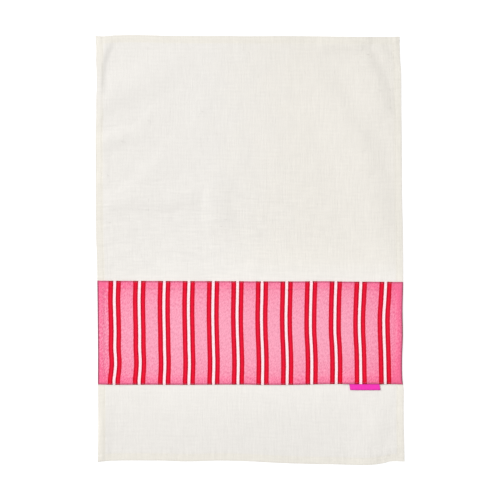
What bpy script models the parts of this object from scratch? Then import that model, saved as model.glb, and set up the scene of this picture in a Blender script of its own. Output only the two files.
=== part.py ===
"""Tea towel: a cotton cloth with turned hems, a striped band sewn across it and a folded ribbon label.

The towel lies face up on a level surface. Metres, +Z up, +Y towards its plain end, +X to its right.
The origin is on the surface, under the middle of the towel. Tables are in millimetres.
"""
import math
from typing import NamedTuple

import bmesh
import bpy
from mathutils import Vector

MM = 0.001
GAP = 0.3 * MM  # between one piece and the next

# Towel cloth: one layer in the field, three pressed layers in the hem.
TOWEL_WIDTH = 500 * MM
TOWEL_LENGTH = 700 * MM
CLOTH_THICK = 1.0 * MM
HEM_WIDTH = 12 * MM
HEM_THICK = 1.5 * MM
HEM_STEP = 0.4 * MM  # run of the step behind the hem, where its turned layers end
HEM_EASE = 100 * MM  # the cloth comes down from the hem to the surface over this length
CLOTH_STEP = 16.5 * MM  # spacing of the cloth's lines away from its edges
CLOTH_EDGE_LINES = (
    0.0, 0.7 * MM, 6 * MM, HEM_WIDTH, HEM_WIDTH + HEM_STEP, 18 * MM, 25 * MM, 34 * MM, 46 * MM,
)
EDGE_ROUND = 0.7 * MM  # a folded edge is rounded over this width
EDGE_DROP = 0.6  # share of the thickness that a folded edge keeps at its very rim

# Striped band: one layer, with its four edges turned under.
BAND_THICK = 1.0 * MM
BAND_TURN_WIDTH = 12.5 * MM  # along its long edges; at its ends the turn is as wide as the hem below it
BAND_TURN_EXTRA = 0.5 * MM
BAND_TURN_STEP = 1.0 * MM
BAND_END_INSET = 0.4 * MM  # the band stops this far inside the cloth's sides
BAND_DEPTH = 169 * MM
BAND_ROW_STEP = 17 * MM
LEAST_COLUMN = 3 * MM  # the cloth's own lines keep this far from the lines set for the label
BAND_EDGE_ROWS = (
    0.0, EDGE_ROUND, 6 * MM, BAND_TURN_WIDTH, BAND_TURN_WIDTH + BAND_TURN_STEP, 19 * MM, 26 * MM,
)

# Ribbon label: two layers joined by a fold, its ends under the band.
LABEL_WIDTH = 49.4 * MM
LABEL_LEFT = 162 * MM  # its left edge, where it comes out from under the band
LABEL_SHOWN = 10 * MM
LABEL_TUCKED = 6.0 * MM
LABEL_LAYER = 0.45 * MM
LABEL_SLOT = 0.3 * MM
LABEL_SLANT = 0.16  # sideways run for each unit down
LABEL_MARGIN = 6 * MM  # the band stays level this far round the label
LABEL_FADE = 14 * MM  # and comes down to the cloth over this length
FOLD_STEPS = 6  # flats round the ribbon's fold


class EdgeRow(NamedTuple):
    """A place along one edge, in mm: `along` it, the edge is `at` this x or y."""

    along: float
    at: float


class CrestPoint(NamedTuple):
    """A point on a fold's crest, in mm: its place, and its height above the flat cloth."""

    x: float
    y: float
    height: float


class Fold(NamedTuple):
    """One soft ridge in the cloth. Its crest runs with the lee side on its left hand. Widths in mm."""

    name: str
    light_side: float
    lee_side: float
    crest: tuple[CrestPoint, ...]


# Left and right edges: along is y, at is x. Top and bottom edges: along is x, at is y.
LEFT_EDGE = (
    EdgeRow(along=-346.3, at=-249.3),
    EdgeRow(along=-328, at=-248.9),
    EdgeRow(along=-305, at=-248.6),
    EdgeRow(along=-261, at=-248.5),
    EdgeRow(along=-229, at=-248.8),
    EdgeRow(along=-163, at=-248.7),
    EdgeRow(along=-98, at=-249.3),
    EdgeRow(along=-41, at=-250.0),
    EdgeRow(along=-8, at=-250.7),
    EdgeRow(along=16, at=-251.8),
    EdgeRow(along=57, at=-252.3),
    EdgeRow(along=154, at=-252.7),
    EdgeRow(along=200, at=-252.7),
    EdgeRow(along=222, at=-251.8),
    EdgeRow(along=245, at=-251.9),
    EdgeRow(along=268, at=-250.7),
    EdgeRow(along=291, at=-251.1),
    EdgeRow(along=310, at=-251.9),
    EdgeRow(along=325, at=-251.5),
    EdgeRow(along=350.2, at=-253.0),
)
RIGHT_EDGE = (
    EdgeRow(along=-345.5, at=252.4),
    EdgeRow(along=-310, at=251.6),
    EdgeRow(along=-261, at=250.9),
    EdgeRow(along=-229, at=251.3),
    EdgeRow(along=-212, at=249.2),
    EdgeRow(along=-180, at=248.6),
    EdgeRow(along=-142, at=249.8),
    EdgeRow(along=-98, at=249.4),
    EdgeRow(along=-54, at=250.3),
    EdgeRow(along=-8, at=250.0),
    EdgeRow(along=39, at=249.6),
    EdgeRow(along=85, at=248.3),
    EdgeRow(along=131, at=248.2),
    EdgeRow(along=200, at=247.7),
    EdgeRow(along=245, at=247.2),
    EdgeRow(along=294, at=246.8),
    EdgeRow(along=314, at=245.2),
    EdgeRow(along=349.2, at=244.4),
)
TOP_EDGE = (
    EdgeRow(along=-253.0, at=350.2),
    EdgeRow(along=-240, at=349.6),
    EdgeRow(along=-225, at=350.9),
    EdgeRow(along=-196, at=351.8),
    EdgeRow(along=-163, at=351.3),
    EdgeRow(along=-131, at=350.5),
    EdgeRow(along=-82, at=350.1),
    EdgeRow(along=-33, at=350.2),
    EdgeRow(along=-8, at=349.8),
    EdgeRow(along=49, at=350.1),
    EdgeRow(along=98, at=349.8),
    EdgeRow(along=147, at=348.8),
    EdgeRow(along=225, at=348.7),
    EdgeRow(along=244.4, at=349.2),
)
BOTTOM_EDGE = (
    EdgeRow(along=-249.3, at=-346.3),
    EdgeRow(along=-235, at=-345.0),
    EdgeRow(along=-212, at=-344.1),
    EdgeRow(along=-146, at=-344.2),
    EdgeRow(along=-106, at=-345.5),
    EdgeRow(along=-50, at=-344.2),
    EdgeRow(along=0, at=-345.4),
    EdgeRow(along=33, at=-347.3),
    EdgeRow(along=66, at=-348.7),
    EdgeRow(along=115, at=-350.1),
    EdgeRow(along=134, at=-350.2),
    EdgeRow(along=172, at=-351.2),
    EdgeRow(along=197, at=-351.0),
    EdgeRow(along=217, at=-348.6),
    EdgeRow(along=231, at=-345.4),
    EdgeRow(along=252.4, at=-345.5),
)
BAND_TOP_EDGE = (
    EdgeRow(along=-250.1, at=-49.9),
    EdgeRow(along=-218, at=-50.2),
    EdgeRow(along=-65, at=-50.7),
    EdgeRow(along=74, at=-51.2),
    EdgeRow(along=115, at=-50.8),
    EdgeRow(along=160, at=-51.5),
    EdgeRow(along=217, at=-51.8),
    EdgeRow(along=250.3, at=-52.1),
)
BAND_BOTTOM_EDGE = (
    EdgeRow(along=-248.8, at=-219.5),
    EdgeRow(along=-225, at=-220.2),
    EdgeRow(along=-187, at=-220.0),
    EdgeRow(along=-106, at=-220.3),
    EdgeRow(along=-20, at=-219.8),
    EdgeRow(along=26, at=-220.4),
    EdgeRow(along=75, at=-220.3),
    EdgeRow(along=127, at=-219.1),
    EdgeRow(along=222, at=-219.0),
    EdgeRow(along=251.0, at=-219.6),
)

FOLDS = (
    Fold("top left pucker", light_side=34, lee_side=10, crest=(
        CrestPoint(x=-224, y=344, height=0.5),
        CrestPoint(x=-233, y=334, height=1.3),
        CrestPoint(x=-240, y=316, height=1.6),
        CrestPoint(x=-244, y=298, height=1.7),
        CrestPoint(x=-245, y=270, height=1.5),
        CrestPoint(x=-246, y=254, height=0.1),
    )),
    Fold("left rib, upper", light_side=42, lee_side=35, crest=(
        CrestPoint(x=-129, y=298, height=0.4),
        CrestPoint(x=-163, y=278, height=1.4),
        CrestPoint(x=-190, y=268, height=1.7),
        CrestPoint(x=-214, y=258, height=1.9),
        CrestPoint(x=-237, y=249, height=2.0),
    )),
    Fold("left hem rise", light_side=10, lee_side=9, crest=(
        CrestPoint(x=-245, y=228, height=0.1),
        CrestPoint(x=-246, y=214, height=0.6),
        CrestPoint(x=-245, y=200, height=0.1),
    )),
    Fold("left rib, short", light_side=11, lee_side=34, crest=(
        CrestPoint(x=-150, y=234, height=0.2),
        CrestPoint(x=-169, y=217, height=0.5),
        CrestPoint(x=-190, y=196, height=0.2),
    )),
    Fold("left rib, middle", light_side=18, lee_side=22, crest=(
        CrestPoint(x=-150, y=191, height=0.1),
        CrestPoint(x=-192, y=188, height=0.7),
        CrestPoint(x=-218, y=184, height=1.4),
        CrestPoint(x=-241, y=177, height=1.4),
    )),
    Fold("left hem trough", light_side=14, lee_side=10, crest=(
        CrestPoint(x=-238, y=162, height=0.1),
        CrestPoint(x=-238, y=138, height=0.5),
        CrestPoint(x=-238, y=108, height=0.1),
    )),
    Fold("left hem rise, lower", light_side=13, lee_side=18, crest=(
        CrestPoint(x=-216, y=106, height=0.1),
        CrestPoint(x=-232, y=110, height=0.7),
        CrestPoint(x=-247, y=112, height=0.7),
    )),
    Fold("left rib, slanting", light_side=20, lee_side=42, crest=(
        CrestPoint(x=-132, y=160, height=0.1),
        CrestPoint(x=-150, y=142, height=0.6),
        CrestPoint(x=-173, y=120, height=0.6),
        CrestPoint(x=-200, y=92, height=0.6),
        CrestPoint(x=-222, y=75, height=0.3),
    )),
    Fold("left rib, lower", light_side=36, lee_side=19, crest=(
        CrestPoint(x=-78, y=79, height=0.1),
        CrestPoint(x=-98, y=80, height=1.0),
        CrestPoint(x=-164, y=79, height=1.4),
        CrestPoint(x=-205, y=80, height=1.4),
        CrestPoint(x=-238, y=75, height=0.8),
    )),
    Fold("middle rib", light_side=28, lee_side=38, crest=(
        CrestPoint(x=-59, y=140, height=0.1),
        CrestPoint(x=-57, y=92, height=1.0),
        CrestPoint(x=-54, y=52, height=1.3),
        CrestPoint(x=-51, y=14, height=0.2),
    )),
    Fold("small rise", light_side=13, lee_side=34, crest=(
        CrestPoint(x=-85, y=249, height=0.1),
        CrestPoint(x=-88, y=216, height=0.5),
        CrestPoint(x=-92, y=188, height=0.1),
    )),
    Fold("long curved fold", light_side=66, lee_side=38, crest=(
        CrestPoint(x=84, y=293, height=0.3),
        CrestPoint(x=104, y=278, height=0.8),
        CrestPoint(x=129, y=250, height=1.2),
        CrestPoint(x=157, y=208, height=1.7),
        CrestPoint(x=183, y=161, height=1.7),
        CrestPoint(x=200, y=106, height=1.3),
        CrestPoint(x=209, y=57, height=0.8),
        CrestPoint(x=216, y=3, height=0.4),
        CrestPoint(x=221, y=-40, height=0.1),
    )),
    Fold("long curved fold, lip", light_side=26, lee_side=38, crest=(
        CrestPoint(x=129, y=250, height=0.1),
        CrestPoint(x=157, y=208, height=0.3),
        CrestPoint(x=183, y=161, height=0.4),
        CrestPoint(x=200, y=106, height=0.5),
        CrestPoint(x=209, y=57, height=0.5),
        CrestPoint(x=216, y=3, height=0.3),
        CrestPoint(x=221, y=-40, height=0.1),
    )),
    Fold("upper curved fold", light_side=56, lee_side=22, crest=(
        CrestPoint(x=178, y=322, height=0.9),
        CrestPoint(x=190, y=305, height=2.2),
        CrestPoint(x=206, y=275, height=2.3),
        CrestPoint(x=215, y=246, height=1.9),
        CrestPoint(x=222, y=212, height=0.4),
    )),
    Fold("top right rise", light_side=48, lee_side=14, crest=(
        CrestPoint(x=204, y=316, height=0.1),
        CrestPoint(x=192, y=326, height=0.8),
        CrestPoint(x=176, y=332, height=1.7),
        CrestPoint(x=160, y=336, height=2.0),
        CrestPoint(x=143, y=338, height=1.5),
        CrestPoint(x=110, y=337, height=0.1),
    )),
    Fold("top right pucker", light_side=12, lee_side=10, crest=(
        CrestPoint(x=203, y=340, height=0.2),
        CrestPoint(x=214, y=328, height=1.1),
        CrestPoint(x=226, y=317, height=0.5),
    )),
    Fold("bottom left rise", light_side=8, lee_side=22, crest=(
        CrestPoint(x=-244, y=-253, height=0.2),
        CrestPoint(x=-243, y=-286, height=1.0),
        CrestPoint(x=-245, y=-324, height=0.9),
        CrestPoint(x=-246, y=-346, height=0.5),
    )),
    Fold("bottom right fold", light_side=42, lee_side=24, crest=(
        CrestPoint(x=228, y=-266, height=0.1),
        CrestPoint(x=217, y=-280, height=0.7),
        CrestPoint(x=206, y=-300, height=1.0),
        CrestPoint(x=197, y=-322, height=1.2),
        CrestPoint(x=192, y=-349, height=1.1),
    )),
    Fold("bottom right corner", light_side=30, lee_side=17, crest=(
        CrestPoint(x=252, y=-325, height=0.7),
        CrestPoint(x=236, y=-325, height=1.0),
        CrestPoint(x=220, y=-327, height=1.2),
        CrestPoint(x=203, y=-332, height=0.3),
    )),
)
CREST_STEPS = 8  # straight runs between two crest points
NEAR_CREST = 1e-6  # mm: closer than this, a place is on the crest itself


class Paint(NamedTuple):
    """A plain colour for a piece (linear red, green, blue) and its roughness."""

    name: str
    colour: tuple[float, float, float]
    roughness: float


ECRU_COTTON = Paint("ecru_cotton", (0.85, 0.82, 0.76), 0.95)
STRIPED_COTTON = Paint("striped_cotton", (0.95, 0.24, 0.37), 0.9)
MAGENTA_RIBBON = Paint("magenta_ribbon", (0.86, 0.04, 0.47), 0.55)


def ease(share: float) -> float:
    """Smooth step: 0 below 0, 1 above 1."""
    share = min(max(share, 0.0), 1.0)
    return share * share * (3 - 2 * share)


def hermite(start: float, end: float, start_slope: float, end_slope: float, share: float) -> float:
    """Cubic between two values; the slopes are for the whole interval."""
    square = share * share
    cube = square * share
    value = start * (2 * cube - 3 * square + 1) + end * (3 * square - 2 * cube)
    return value + start_slope * (cube - 2 * square + share) + end_slope * (cube - square)


def edge_at(rows: tuple[EdgeRow, ...], along: float) -> float:
    """Where an edge is, in metres, at `along` metres: a smooth curve through its rows."""
    place = min(max(along / MM, rows[0].along), rows[-1].along)
    index = next(i for i in range(1, len(rows)) if place <= rows[i].along)
    low, high = rows[index - 1], rows[index]
    before, after = rows[max(index - 2, 0)], rows[min(index + 1, len(rows) - 1)]
    run = high.along - low.along
    low_slope = (high.at - before.at) / (high.along - before.along) * run
    high_slope = (after.at - low.at) / (after.along - low.along) * run
    return hermite(low.at, high.at, low_slope, high_slope, (place - low.along) / run) * MM


def patch_point(sides: dict[str, tuple[EdgeRow, ...]], across: float, up: float) -> tuple[float, float]:
    """A point inside four edges (a Coons patch), by its shares across and up."""
    low_left, low_right = sides["bottom"][0], sides["bottom"][-1]
    high_left, high_right = sides["top"][0], sides["top"][-1]
    low_x = (low_left.along + (low_right.along - low_left.along) * across) * MM
    high_x = (high_left.along + (high_right.along - high_left.along) * across) * MM
    left_y = (low_left.at + (high_left.at - low_left.at) * up) * MM
    right_y = (low_right.at + (high_right.at - low_right.at) * up) * MM
    left_x = edge_at(sides["left"], left_y)
    right_x = edge_at(sides["right"], right_y)
    low_y = edge_at(sides["bottom"], low_x)
    high_y = edge_at(sides["top"], high_x)
    chord_left = (low_left.along + (high_left.along - low_left.along) * up) * MM
    chord_right = (low_right.along + (high_right.along - low_right.along) * up) * MM
    x = low_x + (high_x - low_x) * up
    x += (left_x - chord_left) * (1 - across) + (right_x - chord_right) * across
    y = left_y + (right_y - left_y) * across
    chord_low = (low_left.at + (low_right.at - low_left.at) * across) * MM
    chord_high = (high_left.at + (high_right.at - high_left.at) * across) * MM
    y += (low_y - chord_low) * (1 - up) + (high_y - chord_high) * up
    return x, y


def crest_line(fold: Fold) -> list[CrestPoint]:
    """A smooth curve through a fold's crest points, as a close row of points."""
    points = fold.crest
    line = [points[0]]
    for index in range(1, len(points)):
        low, high = points[index - 1], points[index]
        before, after = points[max(index - 2, 0)], points[min(index + 1, len(points) - 1)]
        for step in range(1, CREST_STEPS + 1):
            share = step / CREST_STEPS
            values = (
                hermite(a, b, (b - p) / 2, (n - a) / 2, share)
                for p, a, b, n in zip(before, low, high, after)
            )
            line.append(CrestPoint(*values))
    return line


CREST_LINES = [(fold, crest_line(fold)) for fold in FOLDS]


def fold_lift(x: float, y: float) -> float:
    """How far the folds lift the cloth above its flat place, in metres."""
    x, y = x / MM, y / MM
    total = 0.0
    for fold, line in CREST_LINES:
        best = math.inf
        height = lee = 0.0
        for low, high in zip(line, line[1:]):
            run_x, run_y = high.x - low.x, high.y - low.y
            off_x, off_y = x - low.x, y - low.y
            length = math.hypot(run_x, run_y)
            share = min(max((off_x * run_x + off_y * run_y) / length**2, 0.0), 1.0)
            distance = math.hypot(off_x - share * run_x, off_y - share * run_y)
            if distance < best:
                best = distance
                height = low.height + share * (high.height - low.height)
                lee = (run_x * off_y - run_y * off_x) / length / max(distance, NEAR_CREST)
        width = fold.light_side + (fold.lee_side - fold.light_side) * (lee + 1) / 2
        total += height * (1 - min(best / width, 1.0) ** 2) ** 2
    return total * MM


def rest_height(inside: float) -> float:
    """Height of the cloth's underside behind the hem, at `inside` from the cloth's edge."""
    return (HEM_THICK - CLOTH_THICK) * (1 - ease((inside - HEM_WIDTH) / HEM_EASE))


def face_height(x: float, y: float, inside: float) -> float:
    """Height of the cloth's face, at `inside` from its edge."""
    return rest_height(inside) + CLOTH_THICK + fold_lift(x, y)


def grid_lines(length: float, edge_lines: tuple[float, ...], step: float) -> list[float]:
    """Distances across a sheet: its edge lines, even steps, and the edge lines again from its far side."""
    first = edge_lines[-1]
    span = length - 2 * first
    count = round(span / step)
    middle = [first + span * index / count for index in range(1, count)]
    return [*edge_lines, *middle, *(length - line for line in reversed(edge_lines))]


def closed_sheet(name: str, faces: list[list[Vector]], backs: list[list[Vector]]) -> bpy.types.Object:
    """A closed sheet from the points of its face and its back, in rows upwards of points to the right."""
    rows, columns = len(faces), len(faces[0])
    mesh = bmesh.new()
    upper = [[mesh.verts.new(point) for point in row] for row in faces]
    lower = [[mesh.verts.new(point) for point in row] for row in backs]
    for row in range(rows - 1):
        for column in range(columns - 1):
            corners = ((row, column), (row, column + 1), (row + 1, column + 1), (row + 1, column))
            mesh.faces.new([upper[r][c] for r, c in corners])
            mesh.faces.new([lower[r][c] for r, c in reversed(corners)])
    rim = [(0, c) for c in range(columns - 1)]
    rim += [(r, columns - 1) for r in range(rows - 1)]
    rim += [(rows - 1, c) for c in range(columns - 1, 0, -1)]
    rim += [(r, 0) for r in range(rows - 1, 0, -1)]
    for (r, c), (next_r, next_c) in zip(rim, rim[1:] + rim[:1]):
        mesh.faces.new((lower[r][c], lower[next_r][next_c], upper[next_r][next_c], upper[r][c]))
    return new_object(name, mesh)


def new_object(name: str, mesh: bmesh.types.BMesh) -> bpy.types.Object:
    """Put a finished mesh into the scene as an object."""
    data = bpy.data.meshes.new(name)
    mesh.to_mesh(data)
    mesh.free()
    item = bpy.data.objects.new(name, data)
    bpy.context.scene.collection.objects.link(item)
    return item


def paint(item: bpy.types.Object, coat: Paint) -> None:
    """Give a piece its plain material."""
    material = bpy.data.materials.new(coat.name)
    material.use_nodes = True
    shader = material.node_tree.nodes["Principled BSDF"]
    shader.inputs["Base Color"].default_value = (*coat.colour, 1.0)
    shader.inputs["Roughness"].default_value = coat.roughness
    shader.inputs["Metallic"].default_value = 0.0
    item.data.materials.append(material)


def make_towel() -> bpy.types.Object:
    """The cloth: one layer in the field, a thicker hem that rests on the surface, and the folds."""
    sides = {"left": LEFT_EDGE, "right": RIGHT_EDGE, "top": TOP_EDGE, "bottom": BOTTOM_EDGE}
    columns = grid_lines(TOWEL_WIDTH, CLOTH_EDGE_LINES, CLOTH_STEP)
    rows = grid_lines(TOWEL_LENGTH, CLOTH_EDGE_LINES, CLOTH_STEP)
    faces, backs = [], []
    for up in rows:
        face_row, back_row = [], []
        for across in columns:
            x, y = patch_point(sides, across / TOWEL_WIDTH, up / TOWEL_LENGTH)
            inside = min(across, TOWEL_WIDTH - across, up, TOWEL_LENGTH - up)
            face = face_height(x, y, inside)
            thick = HEM_THICK if inside <= HEM_WIDTH else CLOTH_THICK
            back = face - thick
            if inside == 0.0:
                face, back = face - thick * (1 - EDGE_DROP) / 2, back + thick * (1 - EDGE_DROP) / 2
            face_row.append(Vector((x, y, face)))
            back_row.append(Vector((x, y, back)))
        faces.append(face_row)
        backs.append(back_row)
    return closed_sheet("towel", faces, backs)


def label_lift(x: float, y: float) -> float:
    """How far the label lifts the band that lies over it."""
    top = edge_at(BAND_BOTTOM_EDGE, x) + LABEL_TUCKED
    aside = max(LABEL_LEFT - x, x - LABEL_LEFT - LABEL_WIDTH, 0.0)
    distance = math.hypot(aside, max(y - top, 0.0))
    full = 2 * LABEL_LAYER + LABEL_SLOT + GAP
    return full * (1 - ease((distance - LABEL_MARGIN) / LABEL_FADE))


def band_columns() -> list[float]:
    """Distances across the band: the cloth's own lines, with closer ones at its ends and round the label."""
    ends = (BAND_END_INSET, BAND_END_INSET + EDGE_ROUND)
    label_left = TOWEL_WIDTH / 2 + LABEL_LEFT
    label_lines = (
        label_left - LABEL_FADE,
        label_left - LABEL_MARGIN / 2,
        label_left + LABEL_WIDTH / 2,
        label_left + LABEL_WIDTH + LABEL_MARGIN / 2,
    )
    plain = [
        line
        for line in grid_lines(TOWEL_WIDTH, CLOTH_EDGE_LINES[2:], CLOTH_STEP)
        if all(abs(line - other) > LEAST_COLUMN for other in label_lines)
    ]
    return sorted([*ends, *plain, *label_lines, *(TOWEL_WIDTH - line for line in ends)])


def make_band() -> bpy.types.Object:
    """The striped band: it lies on the cloth from side to side, thicker where its edges are turned under."""
    sides = {"left": LEFT_EDGE, "right": RIGHT_EDGE, "top": BAND_TOP_EDGE, "bottom": BAND_BOTTOM_EDGE}
    columns = band_columns()
    rows = grid_lines(BAND_DEPTH, BAND_EDGE_ROWS, BAND_ROW_STEP)
    faces, backs = [], []
    for up in rows:
        edge = min(up, BAND_DEPTH - up)
        face_row, back_row = [], []
        for across in columns:
            x, y = patch_point(sides, across / TOWEL_WIDTH, up / BAND_DEPTH)
            inside = min(across, TOWEL_WIDTH - across)
            turned = edge <= BAND_TURN_WIDTH or inside <= HEM_WIDTH
            thick = BAND_THICK + (BAND_TURN_EXTRA if turned else 0.0)
            back = face_height(x, y, inside) + GAP + label_lift(x, y)
            face = back + thick
            if up in (rows[0], rows[-1]) or across in (columns[0], columns[-1]):
                face -= thick * (1 - EDGE_DROP)
            face_row.append(Vector((x, y, face)))
            back_row.append(Vector((x, y, back)))
        faces.append(face_row)
        backs.append(back_row)
    return closed_sheet("band", faces, backs)


def ribbon_section() -> list[tuple[float, float]]:
    """Outline of the folded ribbon from its tucked ends to its fold, as (run, height)."""
    length = LABEL_TUCKED + LABEL_SHOWN
    outer = LABEL_LAYER + LABEL_SLOT / 2
    inner = LABEL_SLOT / 2
    turns = [-math.pi / 2 + math.pi * step / FOLD_STEPS for step in range(FOLD_STEPS + 1)]
    section = [(0.0, 0.0)]
    centre = length - outer
    section += [(centre + outer * math.cos(turn), outer + outer * math.sin(turn)) for turn in turns]
    section += [(0.0, 2 * outer), (0.0, outer + inner)]
    section += [(centre + inner * math.cos(turn), outer + inner * math.sin(turn)) for turn in reversed(turns)]
    section.append((0.0, LABEL_LAYER))
    return section


def label_floor(x: float, tucked_end: float) -> float:
    """Height of the label's underside at `x`, where it lies on the cloth."""
    inside = edge_at(RIGHT_EDGE, tucked_end) - x
    places = (tucked_end, tucked_end - LABEL_TUCKED - LABEL_SHOWN)
    return max(face_height(x, y, inside) for y in places) + GAP


def make_label() -> bpy.types.Object:
    """The ribbon label: its section drawn out to its width, slanted a little like the sewn one."""
    tucked_end = edge_at(BAND_BOTTOM_EDGE, LABEL_LEFT + LABEL_WIDTH / 2) + LABEL_TUCKED
    floor = label_floor(LABEL_LEFT, tucked_end)
    climb = label_floor(LABEL_LEFT + LABEL_WIDTH, tucked_end) - floor
    mesh = bmesh.new()
    outline = []
    for run, height in ribbon_section():
        left = LABEL_LEFT + (run - LABEL_TUCKED) * LABEL_SLANT
        outline.append(mesh.verts.new((left, tucked_end - run, floor + height)))
    end = mesh.faces.new(outline)
    drawn = bmesh.ops.extrude_face_region(mesh, geom=[end])["geom"]
    moved = [part for part in drawn if isinstance(part, bmesh.types.BMVert)]
    bmesh.ops.translate(mesh, verts=moved, vec=(LABEL_WIDTH, 0.0, climb))
    bmesh.ops.recalc_face_normals(mesh, faces=mesh.faces)
    return new_object("label", mesh)


def main() -> None:
    """Clear the scene, then make the three pieces and give each its material."""
    for item in list(bpy.data.objects):
        bpy.data.objects.remove(item)
    paint(make_towel(), ECRU_COTTON)
    paint(make_band(), STRIPED_COTTON)
    paint(make_label(), MAGENTA_RIBBON)


main()
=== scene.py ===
"""The dressed tea towel: slubby ecru cloth, striped cotton band, magenta ribbon label and their sewing.

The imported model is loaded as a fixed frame, and each cloth piece is rebuilt finer on its own solid's
form. Lengths are metres, and tables are millimetres. The towel lies face up, with its plain end
towards +Y and its label to the right, and it is seen from straight above.
"""
from __future__ import annotations

import logging
import math
from collections.abc import Iterable, Sequence
from dataclasses import dataclass, field, replace
from enum import Enum
from typing import Any, NamedTuple

import bpy
import numpy as np
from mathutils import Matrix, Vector

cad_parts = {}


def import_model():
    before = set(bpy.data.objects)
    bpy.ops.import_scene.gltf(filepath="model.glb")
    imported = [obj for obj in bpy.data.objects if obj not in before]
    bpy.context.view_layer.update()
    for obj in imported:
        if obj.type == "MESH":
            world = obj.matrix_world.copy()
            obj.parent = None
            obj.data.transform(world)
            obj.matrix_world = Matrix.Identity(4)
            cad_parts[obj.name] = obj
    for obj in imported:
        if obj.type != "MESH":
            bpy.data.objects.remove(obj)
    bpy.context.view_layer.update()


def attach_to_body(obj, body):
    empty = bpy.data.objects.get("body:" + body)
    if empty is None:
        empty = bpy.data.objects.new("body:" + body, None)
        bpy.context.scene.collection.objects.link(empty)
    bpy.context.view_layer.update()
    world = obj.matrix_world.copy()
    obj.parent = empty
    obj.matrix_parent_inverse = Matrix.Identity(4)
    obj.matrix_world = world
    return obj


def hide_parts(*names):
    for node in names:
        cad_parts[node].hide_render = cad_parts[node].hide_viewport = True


LOG = logging.getLogger("tea_towel")
MM = 0.001
TINY = 1e-6  # a length too small to see
CLOTH_MAP = "Cloth"  # UV map along the yarns: metres across and metres up
STRIPE_MAP = "Stripes"  # UV map of the printed stripes, which sway a little
LAYERS = "layers"  # attribute: 0 on a single layer of cloth, 1 where it is turned under
OPEN_FACE = "open_face"  # attribute: 1 on the cloth's face where nothing is sewn on it

LINE_STEP = 1.2 * MM  # spacing of the points along a sewn line
LEAST_RIM = 0.12  # least share of its thickness that a folded edge keeps

Array = np.ndarray
Socket = bpy.types.NodeSocket


class EdgeRow(NamedTuple):
    """A place along one edge, in mm: `along` it, the edge is `at` this x or y."""

    along: float
    at: float


class CrestPoint(NamedTuple):
    """A point on a fold's crest, in mm: its place, and its height above the flat cloth."""

    x: float
    y: float
    height: float


class Fold(NamedTuple):
    """One soft ridge in the cloth, with its crest and the widths of its two slopes, in mm.

    The crest runs with its lee side, which is away from the light, on its left hand.
    """

    name: str
    light_side: float
    lee_side: float
    crest: tuple[CrestPoint, ...]


class SwayRow(NamedTuple):
    """How far the stripes stray to the right at one height of the band, in mm, at five places across."""

    up: float
    left: float
    quarter: float
    middle: float
    right: float
    far_right: float


# Left and right edges: along is y, at is x. Top and bottom edges: along is x, at is y.
LEFT_EDGE = (
    EdgeRow(along=-346.3, at=-249.3),
    EdgeRow(along=-328, at=-248.9),
    EdgeRow(along=-305, at=-248.6),
    EdgeRow(along=-261, at=-248.5),
    EdgeRow(along=-229, at=-248.8),
    EdgeRow(along=-163, at=-248.7),
    EdgeRow(along=-98, at=-249.3),
    EdgeRow(along=-41, at=-250.0),
    EdgeRow(along=-8, at=-250.7),
    EdgeRow(along=16, at=-251.8),
    EdgeRow(along=57, at=-252.3),
    EdgeRow(along=154, at=-252.7),
    EdgeRow(along=200, at=-252.7),
    EdgeRow(along=222, at=-251.8),
    EdgeRow(along=245, at=-251.9),
    EdgeRow(along=268, at=-250.7),
    EdgeRow(along=291, at=-251.1),
    EdgeRow(along=310, at=-251.9),
    EdgeRow(along=325, at=-251.5),
    EdgeRow(along=350.2, at=-253.0),
)
RIGHT_EDGE = (
    EdgeRow(along=-345.5, at=252.4),
    EdgeRow(along=-310, at=251.6),
    EdgeRow(along=-261, at=250.9),
    EdgeRow(along=-229, at=251.3),
    EdgeRow(along=-212, at=249.2),
    EdgeRow(along=-180, at=248.6),
    EdgeRow(along=-142, at=249.8),
    EdgeRow(along=-98, at=249.4),
    EdgeRow(along=-54, at=250.3),
    EdgeRow(along=-8, at=250.0),
    EdgeRow(along=39, at=249.6),
    EdgeRow(along=85, at=248.3),
    EdgeRow(along=131, at=248.2),
    EdgeRow(along=200, at=247.7),
    EdgeRow(along=245, at=247.2),
    EdgeRow(along=294, at=246.8),
    EdgeRow(along=314, at=245.2),
    EdgeRow(along=349.2, at=244.4),
)
TOP_EDGE = (
    EdgeRow(along=-253.0, at=350.2),
    EdgeRow(along=-240, at=349.6),
    EdgeRow(along=-225, at=350.9),
    EdgeRow(along=-196, at=351.8),
    EdgeRow(along=-163, at=351.3),
    EdgeRow(along=-131, at=350.5),
    EdgeRow(along=-82, at=350.1),
    EdgeRow(along=-33, at=350.2),
    EdgeRow(along=-8, at=349.8),
    EdgeRow(along=49, at=350.1),
    EdgeRow(along=98, at=349.8),
    EdgeRow(along=147, at=348.8),
    EdgeRow(along=225, at=348.7),
    EdgeRow(along=244.4, at=349.2),
)
BOTTOM_EDGE = (
    EdgeRow(along=-249.3, at=-346.3),
    EdgeRow(along=-235, at=-345.0),
    EdgeRow(along=-212, at=-344.1),
    EdgeRow(along=-146, at=-344.2),
    EdgeRow(along=-106, at=-345.5),
    EdgeRow(along=-50, at=-344.2),
    EdgeRow(along=0, at=-345.4),
    EdgeRow(along=33, at=-347.3),
    EdgeRow(along=66, at=-348.7),
    EdgeRow(along=115, at=-350.1),
    EdgeRow(along=134, at=-350.2),
    EdgeRow(along=172, at=-351.2),
    EdgeRow(along=197, at=-351.0),
    EdgeRow(along=217, at=-348.6),
    EdgeRow(along=231, at=-345.4),
    EdgeRow(along=252.4, at=-345.5),
)
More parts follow.
